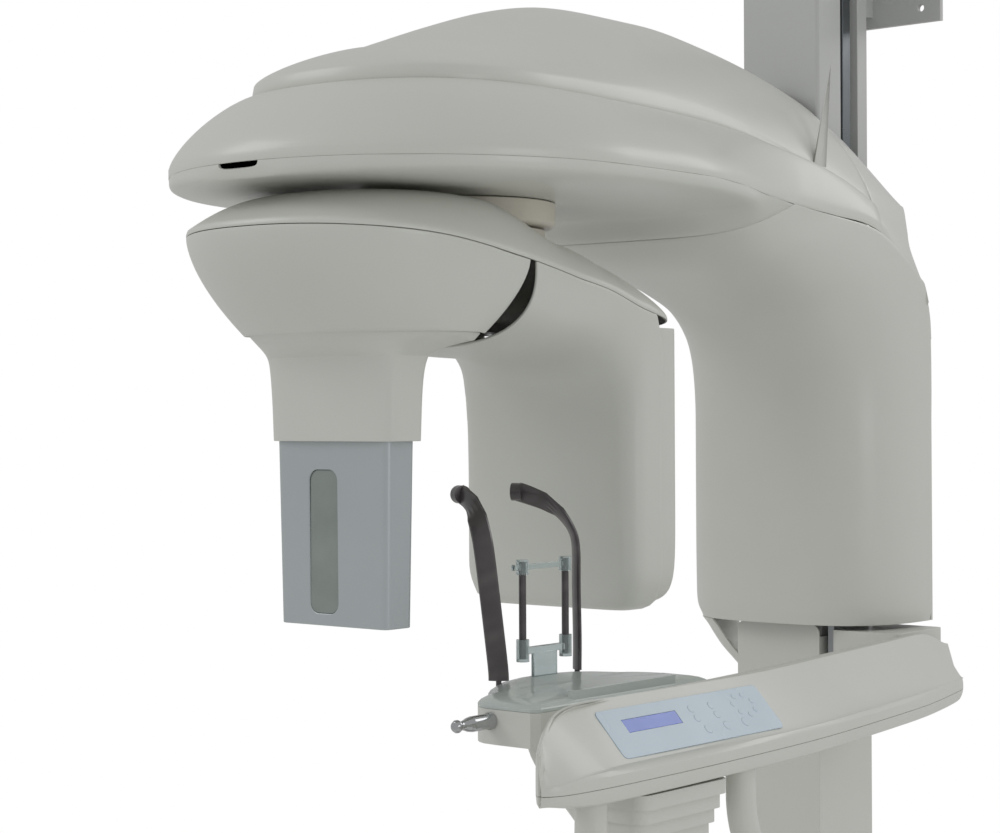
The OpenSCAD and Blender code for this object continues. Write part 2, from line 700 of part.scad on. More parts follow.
module key_panel() {
    color(blue_c) on_panel() {
        difference() {
            translate([0, -panel_l / 2, 0.4]) rounded_bar(panel_h, panel_l, panel_t, 6);
            translate([lcd_from[0], lcd_from[1], -1]) cube([lcd_h, lcd_w, 4]);
        }
        for (i = [0, 1]) for (j = [0, 1])
            key_bump(16 + 12 * i, 8 + 36 * j, 5, 24);
        for (a = [0:51.43:350]) key_bump(22 + 13 * cos(a), 100 + 18 * sin(a), 3.6, 24);
        for (j = [0:2]) key_bump(43, 14 + 34 * j, 6, 24);
    }
}

module lcd_display() {
    color(lcd_c) on_panel() translate([lcd_from[0] + 0.3, lcd_from[1] + 0.3, 0.4]) cube([lcd_h - 0.6, lcd_w - 0.6, 1]);
}

// Two bent tubes that leave the console's underside
handle_x = 318;
handle_mid_y = console_mid_y;
handle_y = 130;
handle_r = 110;
handle_turn = 32;
handle_grip = 120;

// side is -1 for the handle that turns towards the machine's front end
module handle(side) {
    top = beam_low_z + beam_side - 4;
    bend_z = console_low_z - 26;
    swing = handle_r * (1 - cos(handle_turn));
    p = concat([[0, 0, top], [0, 0, bend_z]],
        [for (t = [8:8:handle_turn]) [0, side * handle_r * (1 - cos(t)), bend_z - handle_r * sin(t)]],
        [[0, side * (swing + handle_grip * sin(handle_turn)),
          bend_z - handle_r * sin(handle_turn) - handle_grip * cos(handle_turn)]]);
    ribbon(p, [for (q = p) [1, 0, 0]], handle_d / 2, handle_d / 2);
}

module grab_handles() {
    color(shell_c) for (side = [-1, 1])
        translate([handle_x, handle_mid_y + side * handle_y, 0]) handle(side);
}

hub_x = 266;

hub_step = 15;

module hub_housing() {
    color(shell_c) for (k = [0:3])
        translate([hub_x, console_mid_y - 76 + 3 * k, console_low_z - 0.3 - hub_step * (k + 1)])
            rounded_bar(76 - 5 * k, 152 - 6 * k, hub_step, 14);
}

module table_support() {
    function ring(z, x, a, b) = [for (q = [0:15:345])
        [x + a * spow(cos(q), 0.6), axis_y - b * spow(sin(q), 0.6), z]];
    color(shell_c) skin([
        ring(console_low_z - 56, hub_x - 25.3, 25, 72), ring(console_low_z - 24, hub_x - 40, 38, 82),
        ring(table_z - 28, table_mid_x + 10, 43, 88), ring(table_z - 0.3, table_mid_x + 6, 45, 90)]);
}

// ---------------------------------------------------------------- chin table

table_mid_x = table_reach + 8;
table_edge_x = table_reach + 60;
table_h = 36;
table_wall = 4;
knob_z = table_z + 24;
knob_bore = knob_shaft_d / 2 + run_gap;
end_round = 44;
bulge = 42;

// Outline from the operator's corner round the patient's side; grow moves it outwards
function table_plan(grow) =
    let (h = table_l / 2 + grow, e = h - end_round, x0 = table_reach - 40 - grow)
    concat([[table_edge_x + grow - 8, -h], [table_reach + 8, -h]],
        [for (t = [75:-15:0]) [x0 + 40 - 40 * cos(t), -e - end_round * sin(t)]],
        [for (y = [-0.75:0.25:0.75]) [x0 - bulge * (1 - pow(abs(y), 3)), e * y]],
        [for (t = [0:15:75]) [x0 + 40 - 40 * cos(t), e + end_round * sin(t)]],
        [[table_reach + 8, h], [table_edge_x + grow - 8, h], [table_edge_x + grow, h - 8],
         [table_edge_x + grow, 8 - h]]);
function table_ring(z, grow, arch) = [for (q = table_plan(grow))
    [q[0], q[1] + axis_y, z + arch * (1 - pow(abs(q[1]) / (table_l / 2 + 1), 2))]];

pin_r = 3;
boss_r = 7;

module table_body() {
    color(shell_c) difference() {
        union() {
            difference() {
                translate([0, axis_y, table_z]) linear_extrude(table_h) polygon(table_plan(0));
                translate([0, axis_y, table_z + table_wall]) linear_extrude(table_h) difference() {
                    polygon(table_plan(-table_wall));
                    for (s = [-1, 1]) translate([50, s * (table_l / 2 + 2) - 10]) square([250, 20]);
                }
            }
            for (s = [-1, 1]) translate([bar_reach, axis_y + s * bar_gap / 2, table_z + 1])
                cylinder(r = boss_r, h = table_h - 1, $fn = arc_n);
        }
        for (s = [-1, 1]) translate([bar_reach, axis_y + s * bar_gap / 2, table_z + table_wall + 2])
            cylinder(r = pin_r + run_gap, h = table_h, $fn = arc_n);
        translate([table_reach, axis_y - table_l / 2 - 1, knob_z]) rotate([-90, 0, 0])
            cylinder(r = knob_bore, h = table_l + 2, $fn = arc_n);
    }
}

module table_lid() {
    lid_z = table_z + table_h + 0.3;
    color("#D3DAD6") difference() {
        union() {
            skin([for (q = [[0, 0, 0], [3, 0, 1], [5, -2, 3], [7, -7, 6], [8, -14, 7], [8.5, -24, 8]])
                table_ring(lid_z + q[0], q[1], q[2])]);
            translate([table_edge_x - 12, axis_y - 92, lid_z + 2]) rounded_bar(8, 184, 14, 3.9);
        }
        for (s = [-1, 1]) translate([bar_reach, axis_y + s * bar_gap / 2, lid_z - 2])
            cylinder(r = pin_r + seam_gap, h = 30, $fn = arc_n);
        translate([chin_reach - 2.3, axis_y - 20.3, lid_z - 2]) cube([4.6, 40.6, 30]);
    }
}

// Ball-ended knobs on the shaft that opens the temple bars
module knob_profile() {
    rotate_extrude($fn = arc_n) polygon([[0, 0], [9, 0], [9, 3], [8, 5], [8, 30], [7, 36], [5, 42], [4.6, 46],
        [5.2, 49], [6.6, 51], [6.6, 53], [5, 56], [0, 57]]);
}

module temple_knobs() {
    color("#B9BAB8") {
        translate([table_reach, axis_y - table_l / 2 - 1, knob_z]) rotate([-90, 0, 0])
            cylinder(d = knob_shaft_d, h = table_l + 2, $fn = arc_n);
        for (s = [-1, 1]) translate([table_reach, axis_y + s * (table_l / 2 + 0.3), knob_z])
            rotate([-90 * s, 0, 0]) knob_profile();
    }
}

bar_a = 11;
bar_b = 4;
foot_z = table_z + 46;

// One temple bar for the -Y side, turning on a pin that stands in the table
module temple_bar() {
    foot = [bar_reach, -bar_gap / 2, foot_z];
    pin_z = table_z + table_wall + 2.3;
    p = [for (d = [[0, 0, 6], [0, 0, 14], [-1, -2, 34], [-4, -5, 72], [-7, -7.5, 106], [-9, -12, 144],
                   [-14, -10.5, 162], [-26, -4, 180], [-42, 7, 193], [-58, 15, 200], [-68, 19, 203]]) foot + d];
    turn = [for (i = [0:len(p) - 1]) ease(6, 9, i)];
    flat_dir = [cos(35), sin(35), 0];
    w = [for (t = turn) (1 - t) * flat_dir + t * [0.25, 0, 1]];
    translate([0, axis_y, 0]) {
        ribbon(p, w, bar_a, bar_b);
        translate(p[len(p) - 1] + [4, -2, 0]) rotate([0, 0, -25]) rotate([0, -90, 0])
            cylinder(r = 10, h = 12, $fn = arc_n);
        translate([foot[0], foot[1], pin_z]) cylinder(r = pin_r, h = foot_z + 8 - pin_z, $fn = arc_n);
    }
}

module temple_bar_left() {
    color(dark_c) temple_bar();
}

module temple_bar_right() {
    color(dark_c) translate([0, 2 * axis_y, 0]) mirror([0, 1, 0]) temple_bar();
}

cup_z = table_z + 70;
rod_r = 4;
rod_top = cup_z + 108;
cup_r = 7;
cup_h = 24;

module chin_rest() {
    color(clear_c, 0.5) {
        translate([chin_reach - 2, axis_y - 20, table_z + table_wall + 0.3])
            cube([4, 40, cup_z + 10 - table_z - table_wall]);
        difference() {
            union() {
                translate([chin_reach - 4, axis_y - rod_gap / 2, cup_z + 8]) cube([8, rod_gap, 7]);
                for (s = [-1, 1]) translate([chin_reach, axis_y + s * rod_gap / 2, cup_z])
                    cylinder(r = cup_r, h = cup_h, $fn = arc_n);
            }
            for (s = [-1, 1]) translate([chin_reach, axis_y + s * rod_gap / 2, cup_z + 3])
                cylinder(r = rod_r + run_gap, h = 40, $fn = arc_n);
        }
    }
}

module bite_rods() {
    color(dark_c) for (s = [-1, 1]) translate([chin_reach, axis_y + s * rod_gap / 2, cup_z + 3.3])
        cylinder(r = rod_r, h = rod_top - cup_z - 3.3, $fn = arc_n);
}

module bite_bar() {
    color(clear_c, 0.5) difference() {
        union() {
            for (s = [-1, 1]) translate([chin_reach, axis_y + s * rod_gap / 2, rod_top - 14])
                cylinder(r = cup_r, h = 16, $fn = arc_n);
            translate([chin_reach - 2.5, axis_y - rod_gap / 2 - 16, rod_top - 9]) cube([5, rod_gap + 22, 6]);
        }
        for (s = [-1, 1]) translate([chin_reach, axis_y + s * rod_gap / 2, rod_top - 30])
            cylinder(r = rod_r + run_gap, h = 30 + EPS, $fn = arc_n);
    }
}

// ---------------------------------------------------------------- overhead stage

stage_z = beam_z + 18 + slide_gap;
stage_t = 10;
shaft_r = 40;
bearing_z = underside_z + 8;
belt_z = stage_z + stage_t + 3;
belt_h = 12;
big_pulley_r = 70;
small_pulley_r = 14;
pulley_reach = 150;
belt_t = 2;

module stage_plate() {
    color(steel_c) difference() {
        union() {
            translate([-(beam_x - 3), axis_y - 100, stage_z]) rounded_bar(2 * (beam_x - 3), 290, stage_t, 10);
            translate([0, 0, 0]) for (a = [0:90:270]) translate([0, axis_y, 0]) rotate([0, 0, a + 45])
                translate([neck_post_r - 4, 0, underside_z + 22]) cylinder(r = 3, h = stage_z - underside_z - 21, $fn = arc_n);
        }
        translate([0, axis_y, stage_z - 1]) cylinder(r = shaft_r + 2, h = stage_t + 2, $fn = arc_n);
        translate([0, axis_y + pulley_reach, stage_z - 1]) cylinder(r = 4 + run_gap, h = stage_t + 2, $fn = arc_n);
    }
}

module collar() {
    color(shell_c) translate([0, axis_y, 0]) difference() {
        union() {
            translate([0, 0, collar_z]) rotate_extrude($fn = arc_n) {
                translate([0, 0]) square([collar_r - 6, 28]);
                translate([0, 6]) square([collar_r, 22]);
                translate([collar_r - 6, 6]) circle(6, $fn = 32);
            }
            translate([0, 0, collar_z + 20]) cylinder(r = neck_post_r, h = underside_z + 22 - collar_z - 20, $fn = arc_n);
        }
        translate([0, 0, collar_z - 1]) cylinder(r = neck_post_r - 8, h = 80, $fn = arc_n);
    }
}

module rotation_bearing() {
    color(steel_c) translate([0, axis_y, bearing_z]) tube(neck_post_r - 8 - EPS, shaft_r + run_gap, 14);
}

module rotation_motor() {
    color(dark_c) translate([0, axis_y + pulley_reach, stage_z + stage_t + belt_h + 8]) {
        difference() {
            union() {
                cylinder(r = 22, h = 8, $fn = arc_n);
                translate([-36, -20, 4]) rounded_bar(72, 40, 6, 6);
                translate([0, 0, 6]) cylinder(r = 26, h = 36, $fn = arc_n);
            }
            translate([0, 0, -1]) cylinder(r = 4 + run_gap, h = 6, $fn = arc_n);
        }
        for (x = [-31, 31]) for (y = [-14, 14]) translate([x, y, -belt_h - 8])
            cylinder(r = 3, h = belt_h + 14, $fn = arc_n);
    }
}

module belt_loop(grow) {
    translate([0, 0]) circle(big_pulley_r + grow, $fn = arc_n);
    translate([0, pulley_reach]) circle(small_pulley_r + grow, $fn = arc_n);
    lean = asin((big_pulley_r - small_pulley_r) / pulley_reach);
    polygon([for (q = [[0, 0, big_pulley_r, lean], [0, pulley_reach, small_pulley_r, lean],
                       [0, pulley_reach, small_pulley_r, 180 - lean], [0, 0, big_pulley_r, 180 - lean]])
        [q[0] + (q[2] + grow) * cos(q[3]), q[1] + (q[2] + grow) * sin(q[3])]]);
}

module drive_belt() {
    color("#2A2A2C") translate([0, axis_y, belt_z]) linear_extrude(belt_h) difference() {
        belt_loop(belt_t + 0.3);
        belt_loop(0.3);
    }
}

module drive_pulley() {
    color(silver_c) translate([0, axis_y + pulley_reach, 0]) {
        translate([0, 0, belt_z]) cylinder(r = small_pulley_r, h = belt_h, $fn = arc_n);
        translate([0, 0, stage_z]) cylinder(r = 4, h = stage_t + belt_h + 8 + 4, $fn = arc_n);
    }
}

// ---------------------------------------------------------------- rotating arm

rim_front_y = axis_y - 150;
rim_back_y = axis_y + 170;
arm_half_w = tube_half_w + 4;
frame_arm_z = 1690;
neck_z = collar_z - 20;

function rim_z(y) = lookup(y, [
    [axis_y - arm_front, seam_z - 65], [axis_y - 220, seam_z - 75], [axis_y - 120, seam_z - 89],
    [axis_y + 30, seam_z - 107], [axis_y + 110, seam_z - 119], [axis_y + 170, seam_z - 137],
    [axis_y + arm_back, seam_z - 155]]);
function rim_side(y) = mix(bulb_half_w, arm_half_w, ease(axis_y - 150, axis_y + 120, y));
function rim_xy(grow) = concat(
    [for (a = [0:15:180]) [(bulb_half_w + grow) * spow(cos(a), 2 / 2.4),
        rim_front_y - (arm_front - 150 + grow) * spow(sin(a), 2 / 2.4)]],
    [for (y = [axis_y - 80, axis_y, axis_y + 80]) [-rim_side(y) - grow, y]],
    [for (a = [180:15:360]) [(arm_half_w + grow) * spow(cos(a), 2 / 2.8),
        rim_back_y - (arm_back - 170 + grow) * spow(sin(a), 2 / 2.8)]],
    [for (y = [axis_y + 80, axis_y, axis_y - 80]) [rim_side(y) + grow, y]]);
rim_plan = rim_xy(0);

neck_r = collar_r - 12;
function neck_point(q) =
    let (d = [q[0], q[1] - axis_y], k = (neck_r + 9) / norm(d)) [k * d[0], axis_y + k * d[1]];

function top_row(f) = [for (q = rim_plan)
    let (c = neck_point(q), g = clamp01(f), hump = 34 * ease(axis_y + 60, axis_y - 160, q[1]) + 6,
         z0 = rim_z(q[1]) + seam_gap)
    [mix(q[0], c[0], g), mix(q[1], c[1], g),
     f < 0 ? z0 : mix(z0 + 4, neck_z, pow(g, 0.8)) + hump * 4 * g * (1 - g)]];

module gantry_top_cover() {
    color(shell_c) wall([for (f = [-1, 0, 0.06, 0.14, 0.28, 0.5, 0.72, 0.9, 1]) top_row(f)], shell_t, true);
}

module gantry_shaft() {
    color(cream_c) difference() {
        translate([0, axis_y, neck_z + 1]) cylinder(r = neck_r, h = collar_z - 3 - neck_z, $fn = arc_n);
        translate([0, axis_y, neck_z]) cylinder(r = shaft_r - 4, h = collar_z - neck_z, $fn = arc_n);
    }
    color(steel_c) translate([0, axis_y, 0]) {
        translate([0, 0, frame_arm_z + plate_t]) tube(shaft_r, shaft_r - 12, belt_z + belt_h - frame_arm_z - plate_t);
        translate([0, 0, belt_z]) tube(big_pulley_r, shaft_r - 2, belt_h);
    }
}

lower_seam_z = seam_z - 170;
bulb_mid_y = axis_y - 155;

function ring_point(y, a, b, n, z, q) = [a * spow(cos(q), 2 / n), y - b * spow(sin(q), 2 / n), z];
function ring_at(y, a, b, n, z) = [for (q = [0:15:345]) ring_point(y, a, b, n, z, q)];

bulb_top = concat([[rim_side(axis_y - 80), axis_y - 80]],
    [for (a = [0:15:180]) [bulb_half_w * spow(cos(a), 2 / 2.4),
        rim_front_y - (arm_front - 150) * spow(sin(a), 2 / 2.4)]],
    [[-rim_side(axis_y - 80), axis_y - 80]]);
bulb_low = [for (i = [0:len(bulb_top) - 1])
    ring_point(bulb_mid_y, 140, 100, 2.2, lower_seam_z, -28 + 236 * i / (len(bulb_top) - 1))];

function bulb_out(f) = 1 - pow(1 - f, 1.6);
function bulb_mix(l, t, f) = let (k = bulb_out(f))
    [mix(l[0], t[0], k), mix(l[1], t[1], k), mix(lower_seam_z + seam_gap, rim_z(t[1]), f)];
function bulb_row(f) = [for (i = [0:len(bulb_top) - 1]) bulb_mix(bulb_low[i], bulb_top[i], f)];

module bulb_shell() {
    color(shell_c) wall([for (f = [0:0.125:1]) bulb_row(f)], shell_t);
}

module sensor_shroud() {
    y0 = axis_y - sensor_reach - sensor_d / 2 + 2;
    color(shell_c) wall([
        ring_at(y0, sensor_w / 2 + 12, sensor_d / 2 + 10, 6, 1571), ring_at(y0, sensor_w / 2 + 13, sensor_d / 2 + 10.5, 6, 1610),
        ring_at(y0, sensor_w / 2 + 15, sensor_d / 2 + 12, 6, 1645), ring_at(y0 + 2, sensor_w / 2 + 19, sensor_d / 2 + 19, 4.5, 1660),
        ring_at(y0 + 8, sensor_w / 2 + 31, sensor_d / 2 + 40, 3, 1670), ring_at(bulb_mid_y, 131, 88, 2.4, 1677),
        ring_at(bulb_mid_y, 139, 99, 2.2, lower_seam_z - seam_gap)], shell_t, true);
}

sensor_h = 200;
sensor_flare = 4;

// Rounded rectangle, clockwise from above, centred at [0, y]
function round_ring(y, a, b, r, z) = [for (k = [0:3]) for (t = [0:30:90])
    let (c = [[1, -1], [-1, -1], [-1, 1], [1, 1]][k], q = -90 * k - t)
    [c[0] * (a - r) + r * cos(q), y + c[1] * (b - r) + r * sin(q), z]];
module sensor_box(grow, z0) {
    skin([for (q = [[z0, 0], [sensor_h, 1]])
        round_ring(axis_y - sensor_reach - sensor_d / 2, sensor_w / 2 + sensor_flare * q[1] + grow,
            sensor_d / 2 + 1.5 * q[1] + grow, 8 + grow, sensor_bottom_z + q[0])]);
}

window_x = -32;
window_w = 41;
window_h = 152;
window_r = 12;

module sensor_case() {
    y0 = axis_y - sensor_reach - sensor_d;
    color(silver_c) difference() {
        sensor_box(0, 0);
        translate([0, 0, 0.01]) sensor_box(-3, 3);
        translate([window_x, y0 + 4, sensor_bottom_z + 13]) rotate([90, 0, 0])
            rounded_bar(window_w, window_h, 8, window_r);
    }
}

module sensor_window() {
    inset = 0.3;
    color("#9AA39F") {
        translate([window_x + inset, axis_y - sensor_reach - sensor_d + 2.6, sensor_bottom_z + 13 + inset])
            rotate([90, 0, 0])
                rounded_bar(window_w - 2 * inset, window_h - 2 * inset, 1.8, window_r - inset);
        translate([-13, axis_y - sensor_reach - sensor_d + 2.6, sensor_bottom_z + 50]) cube([10, 2, 60]);
    }
}

module sensor_board() {
    color("#3C6E4A") translate([-60, axis_y - sensor_reach - sensor_d / 2, sensor_bottom_z + 3.3]) {
        cube([120, 2, 182.7]);
        translate([30, 2, 10]) cube([60, 10, 150]);
    }
}

// The arm's underside from the sensor end back into the tube housing
function u_row(y, w, zr, zb) = [for (a = [180:15:360]) [w * spow(cos(a), 0.75), y, zr + (zr - zb) * spow(sin(a), 0.75)]];

arm_low_z = seam_z - 193;

// First row: up and down the bulb's rear edges and round the seam's back
function bulb_edge(side, f) = bulb_mix(side > 0 ? bulb_low[0] : bulb_low[len(bulb_low) - 1],
    side > 0 ? bulb_top[0] : bulb_top[len(bulb_top) - 1], f) + [0, 0.8, 0];
arm_start = concat([for (f = [1, 0.75, 0.5, 0.25]) bulb_edge(-1, f)],
    [for (k = [0:4]) ring_point(bulb_mid_y, 140.6, 101, 2.2, lower_seam_z + 1, 214 + 112 * k / 4)],
    [for (f = [0.25, 0.5, 0.75, 1]) bulb_edge(1, f)]);
function u_at(y) = u_row(y, rim_side(y), rim_z(y), mix(arm_low_z + 8, arm_low_z, ease(axis_y - 60, axis_y + 20, y)));

module arm_lower_cover() {
    color(shell_c) wall(concat([arm_start],
        [for (y = [axis_y - 30, axis_y, axis_y + 40, axis_y + 80, axis_y + 120, axis_y + 160, axis_y + 204]) u_at(y)]),
        shell_t);
}

tube_mid_y = axis_y + 208;
tube_front_b = 55;
tube_back_b = arm_back - 208 - 2;

// Height of the arm's underside above a point of the housing
function under_z(x, y) =
    let (c = pow(min(1, abs(x) / rim_side(y)), 4 / 3)) mix(rim_z(y), arm_low_z, pow(1 - c * c, 0.375));

// Half of the housing from its underside up, no higher than the arm; side 0 is the front
function tube_rows(side, levels) = [for (l = levels) [for (q = [0:12:180])
    let (b = side == 0 ? tube_front_b : tube_back_b, a = side == 0 ? q : 180 + q, e = side == 0 ? 0.3 : 0.5,
         x = tube_half_w * l[0] * spow(cos(a), e),
         y = tube_mid_y + (side == 0 ? -0.4 : 0.4) - b * l[0] * spow(sin(a), e), z = tube_bottom_z + l[1])
    [x, y, side == 0 ? min(z, under_z(x, y) - 4 * seam_gap) : z]]];

tube_foot = [[0.04, 0], [0.5, 1], [0.78, 4], [0.9, 12], [0.96, 24], [1, 48]];
front_h = arm_low_z - tube_bottom_z - 14;
front_top = seam_z - tube_bottom_z;

module tube_front_cover() {
    face_y = tube_mid_y - tube_front_b;
    color(shell_c) difference() {
        wall(tube_rows(0, concat(tube_foot, [[1, 120], [1, 200], [1, front_h], [1, front_top]])), shell_t);
        translate([-1, face_y - 5, tube_bottom_z + 147]) cube([5, 12, 22]);
        translate([-1, face_y - 5, tube_bottom_z + 65]) cube([4.5, 12, 21]);
        translate([76, face_y - 5, tube_bottom_z + 76]) cube([9, 12, 4]);
        translate([wheel_x - 3, face_y - 5, wheel_z - 15]) cube([6, 12, 30]);
    }
}

module tube_rear_cover() {
    color(shell_c) wall(tube_rows(1, concat(tube_foot, [[1, 120], [1, 200], [1, 280], [1.0, seam_z - 157 - tube_bottom_z]])), shell_t);
}

module gantry_frame() {
    y0 = axis_y - sensor_reach - sensor_d / 2;
    color(steel_c) {
        translate([-45, y0 - 10, frame_arm_z]) cube([90, 215 + axis_y - y0 + 10, plate_t]);
        translate([-30, y0 - 4, sensor_bottom_z + sensor_h - 10]) cube([60, 8, frame_arm_z - sensor_bottom_z - sensor_h + 10]);
        translate([-sensor_w / 2 + 0.6, y0 - sensor_d / 2 + 3, sensor_bottom_z + sensor_h - 14])
            rounded_bar(sensor_w - 1.2, sensor_d - 6, 8, 5);
        translate([-34, tube_mid_y + 2, frame_arm_z - 30]) cube([68, 30, 30]);
        translate([-tube_half_w + shell_t + 0.5, tube_mid_y - 3, frame_arm_z - 12])
            cube([2 * (tube_half_w - shell_t - 0.5), 6, 12]);
    }
}

tank_h = 210;
tank_front = tube_mid_y - 27;

module xray_tube_head() {
    color("#8C9093") difference() {
        translate([-72, tank_front, frame_arm_z - 30 - tank_h]) rounded_bar(144, 66, tank_h, 12);
        translate([0, tank_front - 1, frame_arm_z - 30 - tank_h / 2]) rotate([-90, 0, 0]) cylinder(r = 12, h = 20, $fn = arc_n);
    }
}

coll_z = frame_arm_z - 30 - tank_h / 2;

// Slit plate with a pocket for the shutter and ears for the laser's pivots
module collimator() {
    color(dark_c) difference() {
        union() {
            translate([-30, tank_front - 10, coll_z - 60]) cube([47, 10, 120]);
            for (x = [14, 27]) translate([x, wheel_y - 4, wheel_z - 5]) cube([3, tank_front - wheel_y + 4, 10]);
            for (x = [-10, 9]) translate([x, wheel_y - 3.5, wheel_z - 3.5]) cube([3, tank_front - wheel_y - 6, 7]);
        }
        translate([-3, tank_front - 11, coll_z - 50]) cube([6, 12, 100]);
        translate([-15, tank_front - 7, coll_z - 55]) cube([29, 4, 110]);
        translate([10, wheel_y, wheel_z]) rotate([0, 90, 0]) cylinder(r = 2 + run_gap, h = 22, $fn = arc_n);
        translate([-12, wheel_y, wheel_z]) rotate([0, 90, 0]) cylinder(r = laser_pin_r + run_gap, h = 26, $fn = arc_n);
    }
}

module shutter() {
    color(steel_c) translate([5, tank_front - 6.7, coll_z - 54.7]) cube([8, 3.4, 109.4]);
}

wheel_r = 14;
wheel_x = 22;
wheel_z = tube_bottom_z + 158;
wheel_y = tube_mid_y - tube_front_b + wheel_r - 2.5;

module laser_wheel() {
    color("#9C9188") translate([wheel_x, wheel_y, wheel_z]) rotate([0, 90, 0]) {
        cylinder(r = wheel_r, h = 4, center = true, $fn = arc_n);
        translate([0, 0, -8]) cylinder(r = 2, h = 16, $fn = arc_n);
    }
}

// The laser's barrel sits on the thumbwheel's axis and meets its spindle end to end
laser_x = 1;
laser_pin_r = 1.5;

module laser_module() {
    color("#2C2C2E") translate([laser_x, wheel_y, wheel_z]) rotate([0, 90, 0]) {
        cylinder(r = 3.5, h = 12, center = true, $fn = arc_n);
        translate([0, 0, -11]) cylinder(r = laser_pin_r, h = wheel_x - 8 - laser_x + 11, $fn = arc_n);
    }
}

base_plate();
anchor_bolts();
column();
guide_rails();
column_cap();
wall_bracket();
lift_motor();
power_inlet();
lift_screw();
power_rocker();
carriage_frame();
bearing_blocks();
lift_nut();
arm_beam();
root_shell();
underside_cover();
brim_cover();
hood_cover();
rear_panels();
lower_cover();
console_bracket();
console_beam();
console_top_shell();
console_bottom_shell();
key_panel();
lcd_display();
grab_handles();
hub_housing();
table_support();
table_body();
table_lid();
stage_rails();
temple_knobs();
temple_bar_left();
temple_bar_right();
chin_rest();
bite_rods();
bite_bar();
stage_plate();
collar();
rotation_bearing();
rotation_motor();
drive_belt();
drive_pulley();
gantry_shaft();
gantry_frame();
gantry_top_cover();
bulb_shell();
sensor_shroud();
sensor_case();
sensor_window();
sensor_board();
arm_lower_cover();
tube_front_cover();
tube_rear_cover();
xray_tube_head();
collimator();
laser_wheel();
laser_module();
shutter();
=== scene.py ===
"""Looks of a panoramic dental x-ray machine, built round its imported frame.

The frame's nodes give every place and size.  The large covers are smooth sheets
worked out here with numpy and given a wall, so that they read as moulded shells.
Every other piece is a merged copy of its node with rounded edges.
"""

from __future__ import annotations

import json
import logging
import math
from collections.abc import Sequence
from dataclasses import dataclass
from enum import Enum

import bmesh
import bpy
import numpy as np
from mathutils import Euler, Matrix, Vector

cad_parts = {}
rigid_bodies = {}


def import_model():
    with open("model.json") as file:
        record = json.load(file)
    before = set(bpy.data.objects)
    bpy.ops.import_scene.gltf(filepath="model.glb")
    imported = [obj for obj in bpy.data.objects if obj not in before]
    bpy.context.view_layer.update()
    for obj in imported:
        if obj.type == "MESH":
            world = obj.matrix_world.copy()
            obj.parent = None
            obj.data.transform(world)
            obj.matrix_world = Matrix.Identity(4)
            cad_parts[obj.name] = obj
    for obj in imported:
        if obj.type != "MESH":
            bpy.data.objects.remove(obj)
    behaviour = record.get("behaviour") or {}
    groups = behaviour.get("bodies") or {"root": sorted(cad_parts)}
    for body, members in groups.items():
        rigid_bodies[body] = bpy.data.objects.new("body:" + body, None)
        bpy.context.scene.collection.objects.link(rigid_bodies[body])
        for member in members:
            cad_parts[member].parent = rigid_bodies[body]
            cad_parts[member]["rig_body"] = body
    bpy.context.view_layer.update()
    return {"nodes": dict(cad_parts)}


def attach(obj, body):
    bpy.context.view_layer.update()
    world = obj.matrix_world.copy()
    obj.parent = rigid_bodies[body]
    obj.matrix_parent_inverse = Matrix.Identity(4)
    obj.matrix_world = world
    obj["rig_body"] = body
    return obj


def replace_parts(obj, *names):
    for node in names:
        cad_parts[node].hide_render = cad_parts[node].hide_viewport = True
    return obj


LOG = logging.getLogger("xray_machine")
MM = 0.001
Colour = tuple[float, float, float, float]


# ------------------------------------------------------------------ colours and nodes


def to_linear(code: str) -> Colour:
    """Turn an sRGB hex code into linear colour.

    Each channel c is c / 12.92 below 0.04045 and ((c + 0.055) / 1.055) ** 2.4 above.

    Args:
        code: Six hex digits after a hash.

    Returns:
        Red, green, blue and an alpha of 1.
    """
    srgb = np.array([int(code[i : i + 2], 16) for i in (1, 3, 5)]) / 255
    linear = np.where(srgb <= 0.04045, srgb / 12.92, ((srgb + 0.055) / 1.055) ** 2.4)
    return (float(linear[0]), float(linear[1]), float(linear[2]), 1.0)


def add_node(tree: bpy.types.NodeTree, kind: str, inputs: dict | None = None,
             **settings: object) -> bpy.types.Node:
    """Add a shader node with its settings, its values and its links.

    Args:
        tree: The node tree that gets it.
        kind: The node's type name.
        inputs: Socket name or number, with a value or a socket to link from.
        settings: Attributes of the node.

    Returns:
        The new node.
    """
    node = tree.nodes.new(kind)
    for key, value in settings.items():
        setattr(node, key, value)
    for key, value in (inputs or {}).items():
        socket = node.inputs[key]
        if isinstance(value, bpy.types.NodeSocket):
            tree.links.new(value, socket)
        else:
            socket.default_value = value
    return node


class Pattern(Enum):
    """How a surface was made, which decides its fine relief."""

    MOULDED = "even spark-eroded grain"
    BRUSHED_UP = "fine scratches that run upright"
    BRUSHED_ALONG = "fine scratches that run front to back"
    TWILL = "woven composite in a two-by-two twill"
    KNURLED = "straight knurl"
    DOTTED = "rows of small dimples"
    TRACES = "a board's printed tracks"
    CELLS = "a display's dot cells"
    PLAIN = "smooth and polished"


